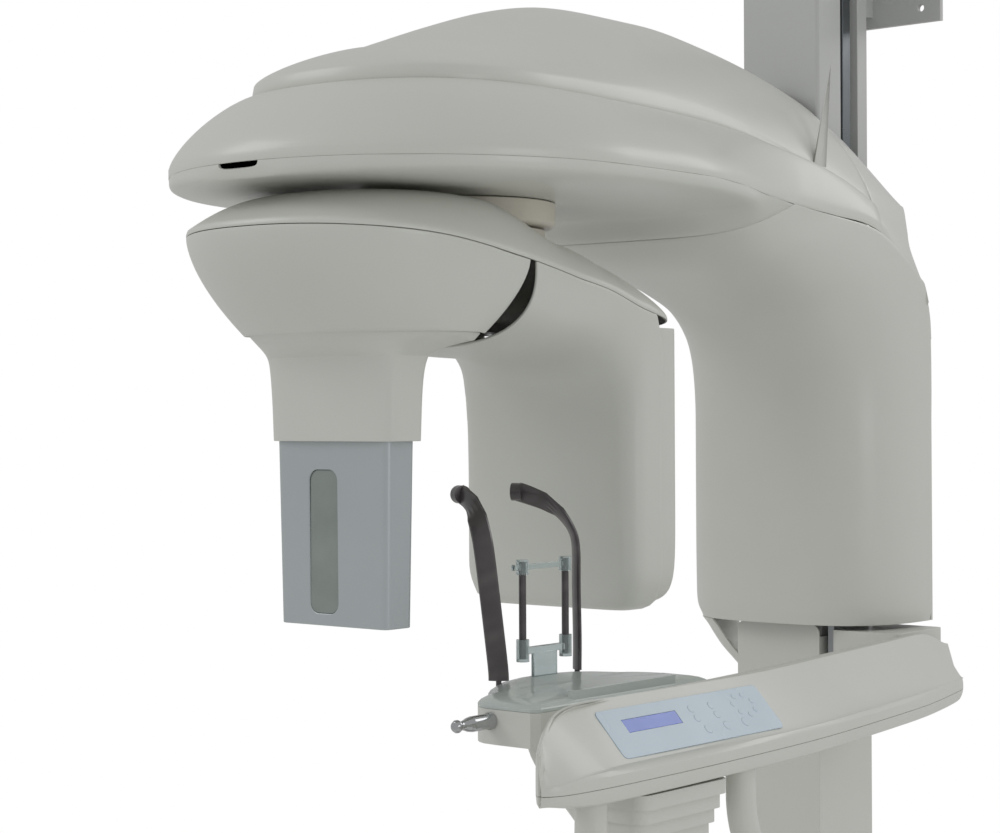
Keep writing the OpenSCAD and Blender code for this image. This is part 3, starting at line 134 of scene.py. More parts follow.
@dataclass(frozen=True)
class Finish:
    """One real material with the surface that its making leaves.

    Attributes:
        name: What the material is.
        slot: The record's material slot; not used.
        colour: sRGB hex of the clean surface.
        shade: sRGB hex that the slow variation drifts towards.
        roughness: Middle roughness.
        spread: How far the roughness varies either way.
        metallic: 1 for bare metal.
        ior: Index of refraction.
        coat: Weight of a clear lacquer.
        transmission: Share of light let through.
        pattern: The fine relief.
        pitch_mm: Real spacing of the relief.
        relief_mm: Real depth of the relief.
        drift_mm: Size of the slow variation.
        emission: Strength of its own light.
    """

    name: str
    slot: str
    colour: str
    shade: str
    roughness: float = 0.4
    spread: float = 0.04
    metallic: float = 0.0
    ior: float = 1.5
    coat: float = 0.0
    transmission: float = 0.0
    pattern: Pattern = Pattern.MOULDED
    pitch_mm: float = 1.2
    relief_mm: float = 0.02
    drift_mm: float = 260.0
    emission: float = 0.0

    def material(self) -> bpy.types.Material:
        """Build the node material, once.

        Returns:
            The material of this finish.
        """
        found = bpy.data.materials.get(self.name)
        if found is not None:
            return found
        made = bpy.data.materials.new(self.name)
        made.use_nodes = True
        tree = made.node_tree
        tree.nodes.clear()
        place = add_node(tree, "ShaderNodeTexCoord").outputs["Object"]
        drift = add_node(
            tree, "ShaderNodeTexNoise",
            {"Vector": place, "Scale": 1 / (self.drift_mm * MM), "Detail": 3.0, "Roughness": 0.55},
        )
        grain = self.relief(tree, place)
        tone = add_node(
            tree, "ShaderNodeMix",
            {"Factor": drift.outputs["Fac"], "A": to_linear(self.colour), "B": to_linear(self.shade)},
            data_type="RGBA",
        )
        body = add_node(tree, "ShaderNodeBsdfPrincipled")
        colour = self.print_on(tree, tone.outputs["Result"], grain)
        rough = add_node(
            tree, "ShaderNodeMapRange",
            {"Value": drift.outputs["Fac"], "From Min": 0.3, "From Max": 0.7,
             "To Min": max(0.02, self.roughness - self.spread), "To Max": self.roughness + self.spread},
        )
        bump = add_node(tree, "ShaderNodeBump",
                        {"Height": grain, "Distance": self.relief_mm * MM, "Strength": 1.0})
        tree.links.new(colour, body.inputs["Base Color"])
        tree.links.new(rough.outputs["Result"], body.inputs["Roughness"])
        tree.links.new(bump.outputs["Normal"], body.inputs["Normal"])
        body.inputs["Metallic"].default_value = self.metallic
        body.inputs["IOR"].default_value = self.ior
        body.inputs["Coat Weight"].default_value = self.coat
        body.inputs["Coat Roughness"].default_value = 0.12
        body.inputs["Transmission Weight"].default_value = self.transmission
        if self.emission:
            tree.links.new(colour, body.inputs["Emission Color"])
            body.inputs["Emission Strength"].default_value = self.emission
        add_node(tree, "ShaderNodeOutputMaterial", {"Surface": body.outputs["BSDF"]})
        made.diffuse_color = to_linear(self.colour)
        return made

    def relief(self, tree: bpy.types.NodeTree, place: bpy.types.NodeSocket) -> bpy.types.NodeSocket:
        """Add the nodes of the fine relief.

        Args:
            tree: The material's tree.
            place: Object coordinates.

        Returns:
            A height from 0 to 1.
        """
        scale = 1 / (self.pitch_mm * MM)
        if self.pattern in (Pattern.BRUSHED_UP, Pattern.BRUSHED_ALONG):
            stretch = (1.0, 1.0, 0.02) if self.pattern is Pattern.BRUSHED_UP else (1.0, 0.02, 1.0)
            turned = add_node(tree, "ShaderNodeMapping", {"Vector": place, "Scale": stretch})
            return add_node(
                tree, "ShaderNodeTexNoise",
                {"Vector": turned.outputs["Vector"], "Scale": scale, "Detail": 2.0}
            ).outputs["Fac"]
        if self.pattern is Pattern.TWILL:
            turned = add_node(tree, "ShaderNodeMapping", {"Vector": place, "Rotation": (0.0, 0.5, 0.785)})
            one = add_node(
                tree, "ShaderNodeTexWave",
                {"Vector": turned.outputs["Vector"], "Scale": scale / 20, "Distortion": 0.0},
                bands_direction="X",
            )
            two = add_node(
                tree, "ShaderNodeTexWave",
                {"Vector": turned.outputs["Vector"], "Scale": scale / 20, "Distortion": 0.0},
                bands_direction="Z",
            )
            return add_node(
                tree, "ShaderNodeMath", {0: one.outputs["Fac"], 1: two.outputs["Fac"]}, operation="MULTIPLY"
            ).outputs["Value"]
        if self.pattern is Pattern.KNURLED:
            return add_node(
                tree, "ShaderNodeTexWave", {"Vector": place, "Scale": scale / 20}, bands_direction="Y"
            ).outputs["Fac"]
        if self.pattern in (Pattern.DOTTED, Pattern.CELLS, Pattern.TRACES):
            kind = "CHEBYCHEV" if self.pattern is not Pattern.DOTTED else "EUCLIDEAN"
            return add_node(
                tree, "ShaderNodeTexVoronoi",
                {"Vector": place, "Scale": scale, "Randomness": 0.0 if self.pattern
                is not Pattern.TRACES else 1.0}, distance=kind,
            ).outputs["Distance"]
        detail = 0.0 if self.pattern is Pattern.PLAIN else 4.0
        return add_node(
            tree, "ShaderNodeTexNoise", {"Vector": place, "Scale": scale, "Detail": detail}
        ).outputs["Fac"]

    def print_on(
        self, tree: bpy.types.NodeTree, tone: bpy.types.NodeSocket, grain: bpy.types.NodeSocket
    ) -> bpy.types.NodeSocket:
        """Let the relief tint the colour where the real surface shows it.

        Args:
            tree: The material's tree.
            tone: The surface's own colour.
            grain: The relief's height.

        Returns:
            The tinted colour.
        """
        depth = {Pattern.TWILL: 0.55, Pattern.CELLS: 0.4, Pattern.DOTTED: 0.25, Pattern.TRACES: 0.35}
        share = depth.get(self.pattern, 0.05)
        mask = add_node(
            tree, "ShaderNodeMapRange", {"Value": grain, "To Min": 1.0 - share, "To Max": 1.0}
        )
        return add_node(
            tree, "ShaderNodeMix", {"Factor": mask.outputs["Result"], "A": to_linear(self.shade), "B": tone},
            data_type="RGBA",
        ).outputs["Result"]


# Moulded polyurethane covers with a satin off-white lacquer: soft broad highlights, hardly any grain.
COVER = Finish("lacquered_cover", "shell", "#DCDDD7", "#D3D4CD", 0.36, coat=0.12, pitch_mm=1.5,
               relief_mm=0.012)
# Aluminium profile with a matt powder coat: greyer, with fine upright lines from the die.
COLUMN = Finish(
    "coated_extrusion", "column_paint", "#C4C6C4", "#BBBDBA", 0.42, pattern=Pattern.BRUSHED_UP, pitch_mm=3.0,
    relief_mm=0.03,
)
# Sheet steel under a textured powder coat: orange-peel bumps about 2 mm apart.
BASE = Finish("powder_coat", "base_paint", "#C9CAC5", "#BEBFB9", 0.5, pitch_mm=2.2, relief_mm=0.08)
# Ground steel parts: directional scratches and a grey reflection.
STEEL = Finish(
    "ground_steel", "steel", "#A3A6A8", "#8E9194", 0.32, 0.08, 1.0, pattern=Pattern.BRUSHED_UP, pitch_mm=1.0,
    relief_mm=0.01, drift_mm=60,
)
# Guide rails in the column's side grooves: bare metal and streaked, with painted shade making them darker
# than the other steel to stand in for the shadow inside the groove.
GROOVE_SHADED_RAIL = Finish(
    "guide_rail_groove_shade", "steel", "#7E8285", "#5E6265", 0.3, 0.08, 1.0, pattern=Pattern.BRUSHED_UP,
    pitch_mm=1.4, relief_mm=0.02, drift_mm=90,
)
# Glass-filled nylon housings: nearly black, matte, moulded grain.
NYLON = Finish("black_nylon", "dark_plastic", "#303234", "#27292B", 0.55, pitch_mm=0.9, relief_mm=0.05,
               drift_mm=40)
# Turned brass: warm, with fine turning lines.
BRASS = Finish("turned_brass", "brass", "#B8944F", "#A17F3E", 0.3, 0.06, 1.0, pattern=Pattern.BRUSHED_ALONG,
               pitch_mm=0.8, relief_mm=0.01, drift_mm=30)
# Polyester membrane with printed ink behind it: a silky, even blue.
FILM = Finish("printed_membrane", "panel_film", "#BCCDD9", "#B3C5D2", 0.28, coat=0.25, pitch_mm=0.6,
              relief_mm=0.006, drift_mm=120)
# Backlit display glass over a dot matrix: deep blue with a faint cell grid.
DISPLAY = Finish("dot_display", "lcd", "#2F57B8", "#24489E", 0.16, coat=0.5, pattern=Pattern.CELLS,
                 pitch_mm=1.6, relief_mm=0.004, drift_mm=40, emission=0.25)
# Tinted polycarbonate lid: pale green-white, glossy, with light coming a little way in.
LID = Finish("tinted_lid", "lid_plastic", "#D3DAD6", "#C5CFCA", 0.22, coat=0.3, transmission=0.12, pitch_mm=4,
             relief_mm=0.006, drift_mm=90)
# Polished stainless knobs: mirror-like with faint turning marks.
POLISHED = Finish("polished_stainless", "chrome", "#C9CACB", "#B4B6B8", 0.14, 0.04, 1.0,
                  pattern=Pattern.BRUSHED_ALONG, pitch_mm=0.7, relief_mm=0.003, drift_mm=25)
# Carbon-fibre composite under satin resin: a dark weave about 3 mm wide, drawn no finer so that it shows.
CARBON = Finish("woven_carbon", "carbon", "#625D5D", "#3F3B3C", 0.32, coat=0.35, pattern=Pattern.TWILL,
                pitch_mm=3.0, relief_mm=0.02, drift_mm=40)
# Cast acrylic: clear, with a cool edge.
ACRYLIC = Finish("clear_acrylic", "clear_plastic", "#E6F0F0", "#D8E6E6", 0.06, 0.03, ior=1.49,
                 transmission=0.82, pattern=Pattern.PLAIN, pitch_mm=12, relief_mm=0.01, drift_mm=40)
# Turned and lacquered neck: warmer than the covers.
CREAM = Finish("cream_lacquer", "neck_cream", "#E2DED2", "#D8D3C5", 0.36, coat=0.1, pitch_mm=1.5,
               relief_mm=0.01)
RUBBER = Finish("belt_rubber", "rubber", "#2B2B2D", "#222224", 0.7, pattern=Pattern.KNURLED, pitch_mm=5,
                relief_mm=0.3, drift_mm=40)
ALUMINIUM = Finish("machined_aluminium", "aluminium", "#C2C5C7", "#ABAEB1", 0.28, 0.06, 1.0,
                   pattern=Pattern.BRUSHED_ALONG, pitch_mm=0.8, relief_mm=0.008, drift_mm=40)
# Sheet case in silver metallic paint: fine flake, soft sheen.
SILVER = Finish("silver_metallic_paint", "silver_paint", "#BFC6C8", "#B3BABD", 0.34, 0.05, 0.35, coat=0.2,
                pitch_mm=0.7, relief_mm=0.01, drift_mm=140)
# Carbon sheet window behind a dimpled film.
WINDOW = Finish("dimpled_window", "window", "#A2ABA6", "#7F8984", 0.5, pattern=Pattern.DOTTED, pitch_mm=3.0,
                relief_mm=0.15, drift_mm=60)
BOARD = Finish("circuit_board", "board", "#3C6E4A", "#2C5638", 0.4, pattern=Pattern.TRACES, pitch_mm=5,
               relief_mm=0.05, drift_mm=40)
TANK = Finish("tank_enamel", "tank_paint", "#8C9093", "#7C8083", 0.4, pitch_mm=2, relief_mm=0.04, drift_mm=80)
WHEEL = Finish("knurled_wheel", "wheel_plastic", "#A0968C", "#857B72", 0.5, pattern=Pattern.KNURLED,
               pitch_mm=2.0, relief_mm=0.3, drift_mm=20)


# ------------------------------------------------------------------ meshes


def new_piece(name: str, points: np.ndarray, faces: Sequence[Sequence[int]], finish: Finish,
              body: str) -> bpy.types.Object:
    """Make a piece from points and faces, dress it and seat it on its body.

    Args:
        name: The piece's name.
        points: One row of x, y and z in metres for each vertex.
        faces: Vertex numbers of each face, anticlockwise from outside.
        finish: Its material.
        body: The body that carries it.

    Returns:
        The new object.
    """
    mesh = bpy.data.meshes.new(name)
    mesh.from_pydata(points.reshape(-1, 3).tolist(), [], [list(map(int, f)) for f in faces])
    mesh.validate()
    mesh.shade_smooth()
    piece = bpy.data.objects.new(name, mesh)
    bpy.context.scene.collection.objects.link(piece)
    mesh.materials.append(finish.material())
    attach(piece, body)
    LOG.info("%s: %d vertices on %s", name, len(mesh.vertices), body)
    return piece


def grid_faces(rows: int, columns: int, wrap: bool = False) -> np.ndarray:
    """Faces of a grid of rows by columns, joined round when wrap is set."""
    i, j = np.meshgrid(np.arange(rows - 1), np.arange(columns if wrap else columns - 1), indexing="ij")
    k = (j + 1) % columns
    a, b, c, d = (i * columns + j, i * columns + k, (i + 1) * columns + k, (i + 1) * columns + j)
    return np.stack([a, b, c, d], axis=-1).reshape(-1, 4)


def round_rims(piece: bpy.types.Object, width_mm: float, segments: int = 2, angle: float = 32.0) -> None:
    """Round the edges that turn more than angle, by a real width."""
    bevel = piece.modifiers.new("rims", "BEVEL")
    bevel.width = width_mm * MM
    bevel.segments = segments
    bevel.limit_method = "ANGLE"
    bevel.angle_limit = math.radians(angle)
    bevel.miter_outer = "MITER_ARC"
    bevel.harden_normals = False


def smooth_over(piece: bpy.types.Object, levels: int) -> None:
    """Subdivide a piece, the same in view and render."""
    over = piece.modifiers.new("surface", "SUBSURF")
    over.levels = levels
    over.render_levels = levels


def even_normals(piece: bpy.types.Object) -> None:
    """Weight the normals by face area, so flat faces stay flat beside round edges."""
    weighted = piece.modifiers.new("normals", "WEIGHTED_NORMAL")
    weighted.keep_sharp = True
    weighted.weight = 80


def sheet(
    name: str, grid: np.ndarray, finish: Finish, body: str, wall_mm: float = 3.0, wrap: bool = False,
    flip: bool = False, rim_mm: float = 0.7,
) -> bpy.types.Object:
    """Make a moulded wall whose outer face is a grid of points.

    Args:
        name: The piece's name.
        grid: Rows by columns of points in metres.
        finish: Its material.
        body: The body that carries it.
        wall_mm: Its thickness, put on the inside.
        wrap: Join the last column to the first.
        flip: Turn the faces over.
        rim_mm: Rounding of the wall's rims.

    Returns:
        The new piece.
    """
    faces = grid_faces(grid.shape[0], grid.shape[1], wrap)
    piece = new_piece(name, grid, faces[:, ::-1] if flip else faces, finish, body)
    tidy = bmesh.new()
    tidy.from_mesh(piece.data)
    bmesh.ops.remove_doubles(tidy, verts=tidy.verts, dist=0.00003)
    tidy.to_mesh(piece.data)
    tidy.free()
    piece.data.shade_smooth()
    wall = piece.modifiers.new("wall", "SOLIDIFY")
    wall.thickness = wall_mm * MM
    wall.offset = -1
    wall.use_even_offset = True
    round_rims(piece, rim_mm, 2, 50.0)
    return piece


class Make(Enum):
    """How a copied node is finished."""

    MOULDED = "paired into quads, rims rounded, subdivided"
    MACHINED = "flats kept, edges rounded"


def merged_copy(node: bpy.types.Object, make: Make) -> bpy.types.Mesh:
    """Copy a node's mesh with its doubles merged and its triangles joined.

    Args:
        node: The frame's node.
        make: Quads for a moulded piece, whole flats for a machined one.

    Returns:
        A new mesh.
    """
    shape = bmesh.new()
    shape.from_mesh(node.data)
    bmesh.ops.remove_doubles(shape, verts=shape.verts, dist=0.00002)
    if make is Make.MOULDED:
        bmesh.ops.join_triangles(
            shape, faces=shape.faces, angle_face_threshold=math.radians(35),
            angle_shape_threshold=math.radians(75)
        )
    else:
        bmesh.ops.dissolve_limit(
            shape, angle_limit=math.radians(0.4), verts=shape.verts, edges=shape.edges, delimit={"NORMAL"}
        )
    mesh = bpy.data.meshes.new(f"{node.name}_skin")
    shape.to_mesh(mesh)
    shape.free()
    return mesh


# ------------------------------------------------------------------ shapes


def power(x: np.ndarray, e: float | np.ndarray) -> np.ndarray:
    """Raise the size of x to e and keep its sign."""
    return np.sign(x) * np.abs(x) ** e


def blend(a: np.ndarray | float, b: np.ndarray | float, t: np.ndarray | float) -> np.ndarray:
    """Go straight from a to b as t goes from 0 to 1."""
    return a + (np.asarray(b) - a) * t


def ease(a: float, b: float, x: np.ndarray) -> np.ndarray:
    """Rise from 0 at a to 1 at b along 3t^2 - 2t^3."""
    t = np.clip((x - a) / (b - a), 0, 1)
    return t * t * (3 - 2 * t)


def curve_through(places: Sequence[float], values: np.ndarray, x: np.ndarray) -> np.ndarray:
    """Read a smooth curve through given values, held level beyond its ends.

    Each span is a cubic whose end slopes are the three-point slopes, limited to
    three times the smaller neighbouring slope so that it does not overshoot.

    Args:
        places: Rising places of the values.
        values: One row for each place.
        x: Where to read the curve.

    Returns:
        One row for each x.
    """
    at = np.asarray(places, float)
    v = np.asarray(values, float).reshape(len(at), -1)
    step = np.diff(at)[:, None]
    rise = np.diff(v, axis=0) / step
    slope = np.vstack([rise[:1], (rise[:-1] * step[1:] + rise[1:] * step[:-1]) / (step[1:] + step[:-1]),
                       rise[-1:]])
    low = np.minimum(np.abs(np.vstack([rise[:1], rise])), np.abs(np.vstack([rise, rise[-1:]]))) * 3
    turn = np.vstack([rise[:1], rise]) * np.vstack([rise, rise[-1:]]) <= 0
    slope = np.where(turn, 0, np.clip(slope, -low, low))
    q = np.clip(np.asarray(x, float), at[0], at[-1])
    i = np.clip(np.searchsorted(at, q, side="right") - 1, 0, len(at) - 2)
    h = step[i]
    t = ((q - at[i])[:, None]) / h
    return (
        v[i] * (2 * t**3 - 3 * t**2 + 1) + slope[i] * h * (t**3 - 2 * t**2 + t)
        + v[i + 1] * (3 * t**2 - 2 * t**3) + slope[i + 1] * h * (t**3 - t**2)
    )


def read(places: Sequence[float], values: Sequence[float], x: np.ndarray) -> np.ndarray:
    """Read a smooth curve of plain numbers."""
    return curve_through(places, np.asarray(values, float), np.ravel(x))[:, 0].reshape(np.shape(x))


def even_angles(squareness: float, count: int) -> np.ndarray:
    """Angles over a half turn that space points evenly on a superellipse.

    Args:
        squareness: Its exponent, 2 for an ellipse.
        count: How many angles.

    Returns:
        The angles in radians.
    """
    a = np.linspace(0, math.pi, 2001)
    x, y = power(np.cos(a), 2 / squareness), power(np.sin(a), 2 / squareness)
    run = np.concatenate([[0], np.cumsum(np.hypot(np.diff(x), np.diff(y)))])
    return np.interp(np.linspace(0, run[-1], count), run, a)


@dataclass(frozen=True)
class HeadShape:
    """Outlines of the head, in millimetres, in the frame's axes.

    Attributes:
        axis: Distance of the turning axis in front of the column.
        seam: Height of the seam round the head.
        half_w: Half the brim's width.
        root_w: Half the carriage cover's width.
        reach: From the axis to the brim's tip.
        hood: Height of the hood above the seam.
        gap: Joint between covers.
        front: How far the carriage cover stands in front of the column.
        foot: Height of the carriage cover's lower edge.
    """

    axis: float = 730.0
    seam: float = 1855.0
    half_w: float = 275.0
    root_w: float = 160.0
    reach: float = 336.0
    hood: float = 220.0
    gap: float = 0.6
    front: float = 112.0
    foot: float = 1318.0
    wall: float = 3.0
    back: float = -76.0
    cheek_back: float = 58.0
    slot: float = 68.0
    crease_w: float = 176.0
    crease_taper: float = 148 / 176
    brim_lip: float = 9.0

    @property
    def crease_z(self) -> float:
        """Height of the crease between brim and hood."""
        return self.seam + 85

    def side(self, y: np.ndarray) -> np.ndarray:
        """Half width of the head at y: it narrows from the brim's to the cover's."""
        return blend(self.half_w, self.root_w, ease(-self.axis + 60, -self.axis + 500, y))

    def seam_drop(self, y: np.ndarray) -> np.ndarray:
        """How far the seam falls towards the column."""
        places = (-310, -190, -90, -25, 22, 45, 52, 53)
        return read(places, (1, 8, 19, 46, 75, 110, 165, 225), y)

    def brim_low(self, y: np.ndarray) -> np.ndarray:
        """Height of the brim's lower edge at y."""
        return self.seam + self.gap - self.seam_drop(y)

    def crease_drop(self, y: np.ndarray) -> np.ndarray:
        """How far the crease falls towards the column."""
        return read((-self.axis, -340, -150, 30), (0, 14, 45, 110), y)

    def hood_line(self, y: np.ndarray) -> np.ndarray:
        """Height of the hood's ridge at y."""
        a = -self.axis
        places = (a - 150, a - 50, a + 50, a + 130, -480, -400, -280, -160, self.back, 60)
        return self.seam + self.hood - read(places, (85, 50, 20, 4, -2, -2, 8, 27, 46, 80), y)

    def loop(self, width: float, taper: float, depth: float, squareness: float) -> np.ndarray:
        """Outline from the back right corner round the tip to the back left.

        Its sides follow the head's narrowing; its tip is half a superellipse.

        Args:
            width: Half width at the tip's widest.
            taper: Share of the width left at the back.
            depth: From the widest point to the tip.
            squareness: Exponent of the tip.

        Returns:
            Rows of x and y.
        """
        y = np.linspace(self.back, -self.axis - 50, 46)[:-1]
        x = blend(width, width * taper, ease(-self.axis + 60, -self.axis + 500, y))
        a = even_angles(squareness, 91)
        tip = np.stack(
            [width * power(np.cos(a), 2 / squareness),
             -self.axis - 50 - depth * power(np.sin(a), 2 / squareness)], 1
        )
        right = np.stack([x, y], 1)
        return np.vstack([right, tip, (right * [-1, 1])[::-1]])

    def brim_outer(self) -> np.ndarray:
        """The brim's widest outline."""
        return self.loop(self.half_w, self.root_w / self.half_w, self.reach - 50, 2)

    def crease(self) -> np.ndarray:
        """The outline where the hood rises from the brim."""
        return self.loop(self.crease_w, self.crease_taper, self.reach - 148, 2.4)

    def brim(self) -> np.ndarray:
        """The brim: an upright lip with a shallow step above it, then a curve in to the crease.

        Along the curve the distance out goes as cos^1.5 and the height as sin^1.5.
        """
        outer, inner = self.brim_outer(), self.crease()
        low = self.brim_low(outer[:, 1])
        rows = [np.c_[outer, low], np.c_[outer, low + self.brim_lip * 0.5], np.c_[outer, low + self.brim_lip]]
        top = self.crease_z - self.crease_drop(inner[:, 1])
        step = 1.6 / self.half_w
        for f in np.linspace(0, 1, 22):
            t = math.radians(90 * f)
            h, v = math.cos(t) ** 1.5 * (1 - step), math.sin(t) ** 1.5
            rows.append(np.c_[blend(inner, outer, h), blend(low + self.brim_lip + 1.2, top, v)])
        return np.array(rows) * MM

    def hood_surface(self) -> np.ndarray:
        """The hood: a low upright step, then superellipse ribs up to the ridge line."""
        c = self.crease()
        y = np.maximum(c[:, 1], -self.axis - 150)
        nose = np.where(c[:, 1] < -self.axis - 50, 3.0, 0.0)
        foot = np.stack([c[:, 0] * 0.985, c[:, 1] + nose], 1)
        base = self.crease_z + self.gap - self.crease_drop(c[:, 1])
        ridge = np.stack([0 * y, y], 1)
        crest = self.hood_line(y)
        rise = 15.0 * ease(-200, -500, c[:, 1])
        rows = [np.c_[foot, base], np.c_[foot, base + rise * 0.5],
                np.c_[blend(foot, ridge, 0.012), base + rise]]
        for f in np.linspace(0.05, 1, 30):
            h = math.cos(math.radians(90 * f)) ** (2 / 1.35) * 0.988
            v = math.sin(math.radians(90 * f)) ** (2 / 1.35)
            rows.append(np.c_[blend(ridge, foot, h), blend(base + rise, crest, v)])
        return np.array(rows) * MM

    def shell_rows(self, profile: np.ndarray, per_span: int, columns: int = 81) -> np.ndarray:
        """Sweep a head profile.

        Each profile row is bottom line y and z, seam y and z, half width and
        squareness n.  Across a row x = w cos^(2/n), and y and z go from the seam to
        the bottom line by sin^(2/n).

        Args:
            profile: The profile's rows.
            per_span: Rows made for each span of the profile.
            columns: Points across.

        Returns:
            The grid of points in metres.
        """
        n = len(profile)
        t = np.linspace(0, n - 1, (n - 1) * per_span + 1)
        rows = curve_through(range(n), profile, t)
        made = []
        for low_y, low_z, seam_y, seam_z, w, k in rows:
            a = even_angles(k, columns)
            c, s = power(np.cos(a), 2 / k), power(np.sin(a), 2 / k)
            made.append(np.stack([w * c, blend(seam_y, low_y, s), blend(seam_z, low_z, s)], 1))
        return np.array(made) * MM

    def root_profile(self) -> np.ndarray:
        """Profile of the carriage cover, from its foot up and out under the arm."""
        f, w, z = self.front, self.root_w, self.foot
        return np.array([
            [-f + 8, z, 52, z, w - 4, 2.8], [-f + 2, z + 32, 52, z + 32, w, 3], [-f, 1450, 52, 1450, w, 3],
            [-f, 1560, 52, 1560, w, 3], [-f - 2, 1620, 53, 1630, w, 3], [-f - 12, 1665, 52, 1690, w, 3],
            [-f - 32, 1696, 45, 1745, w, 3], [-f - 70, 1728, 22, 1780, w, 3],
            [-f - 125, 1752, -25, 1809, w, 3.2], [-f - 180, 1768, -90, 1836, w, 3.4],
            [-f - 250, 1787, -190, self.seam - 8, float(self.side(np.array(-220.0))), 3.8],
            [-f - 310, 1812, -300, self.seam - 1, float(self.side(np.array(-310.0))), 4.4],
        ])

    def under_profile(self) -> np.ndarray:
        """Profile of the underside cover, from the carriage cover to the brim's tip."""
        tip = -self.axis - self.reach
        a, low = -self.axis, self.seam - 17
        y = np.array([-470, -540, -640, a, a - 90, a - 170, a - 240, a - 290, tip + 24, tip + 14, tip + 7])
        out = np.clip((a - 50 - y) / (a - 50 - tip), 0, 1)
        w = np.where(y > a - 50, self.side(y), self.half_w * np.sqrt(1 - out**2))
        rows = np.stack([y, low + 3 * ease(a - 150, tip, y), y, 0 * y + self.seam - self.gap, w, 0 * y + 5],
                        1)
        start = [-self.front - 312, 1812.5, -304, self.seam - 1, float(self.side(np.array(-314.0))), 4.4]
        end_w = self.half_w * math.sqrt(1 - ((a - 50 - tip - 1.5) / (a - 50 - tip)) ** 2)
        end = [tip + 1.5, self.seam - 6, tip + 1.5, self.seam - self.gap, end_w, 4]
        return np.vstack([start, rows, end])

    def cheek(self) -> np.ndarray:
        """One side cover beside the column, lofted from the hood's end to the back plate's outline."""
        y0, z0 = self.back, self.crease_z - float(self.crease_drop(np.array(self.back)))
        x = np.array([self.slot, 84, 100, 114, 127, 138, 146])
        e, t = 1.35, np.clip(
            np.array([self.slot, 84, 100, 114, 127, 138, 146]) / (self.crease_w * self.crease_taper), 0, 1)
        crest = float(self.hood_line(np.array(y0)))
        start = np.c_[x, z0 + (crest - z0) * (1 - t**e) ** (1 / e)]
        low = float(self.brim_low(np.array(y0)))
        f = np.array([0.25, 0.5, 0.75, 1])
        fall = np.c_[blend(146, self.root_w, np.sin(np.radians(90 * f)) ** 0.7),
                     blend(z0, low + self.brim_lip, f)]
        start = np.vstack([start, fall, [[self.root_w, low]]])
        end = np.array(self.cheek_end())
        y = np.linspace(self.back + self.gap, self.cheek_back, 31)
        share = (np.clip((y - self.back) / (self.cheek_back - self.back), 0, 1) ** 1.3)[:, None, None]
        rows = blend(start[None], end[None], share)
        rows[:, -1, 1] = np.maximum(rows[:, -1, 1], self.brim_low(y))
        fine = np.linspace(0, len(end) - 1, 56)
        made = [np.c_[q[:, 0], np.full(56, yy), q[:, 1]]
                for yy, q in zip(y, (curve_through(range(len(end)), r, fine) for r in rows), strict=True)]
        return np.array(made) * MM

    def cheek_end(self) -> list[list[float]]:
        """Outline of the back plate, from the column's slot outwards and down."""
        return [[self.slot, 1928], [77, 1917], [87, 1907], [97, 1897], [107, 1887], [114, 1880], [119, 1874],
                [124, 1845], [129, 1818], [151, 1762], [158, 1729], [self.root_w, self.seam - 158]]

    def lobe(self) -> np.ndarray:
        """The rounded lobe that hangs below the cover on the patient's side."""
        z = self.foot
        rows = curve_through(
            range(6),
            np.array([[z - 0.3, self.root_w - 5, 153], [z - 11, 150, 143], [z - 24, 147, 130],
                      [z - 43, 140, 112], [z - 63, 127, 93], [z - 86, 110, 75]]),
            np.linspace(0, 5, 26),
        )
        a = np.radians(np.linspace(60, 0, 40))[None]
        x = np.maximum(self.slot + 12, rows[:, 1:2] * power(np.cos(a), 2 / 3))
        y = 52 - rows[:, 2:3] * (1 - np.minimum(1, x / rows[:, 1:2]) ** 3) ** (1 / 3)
        return np.stack([-x, y, rows[:, :1] + 0 * x], -1)[::-1] * MM


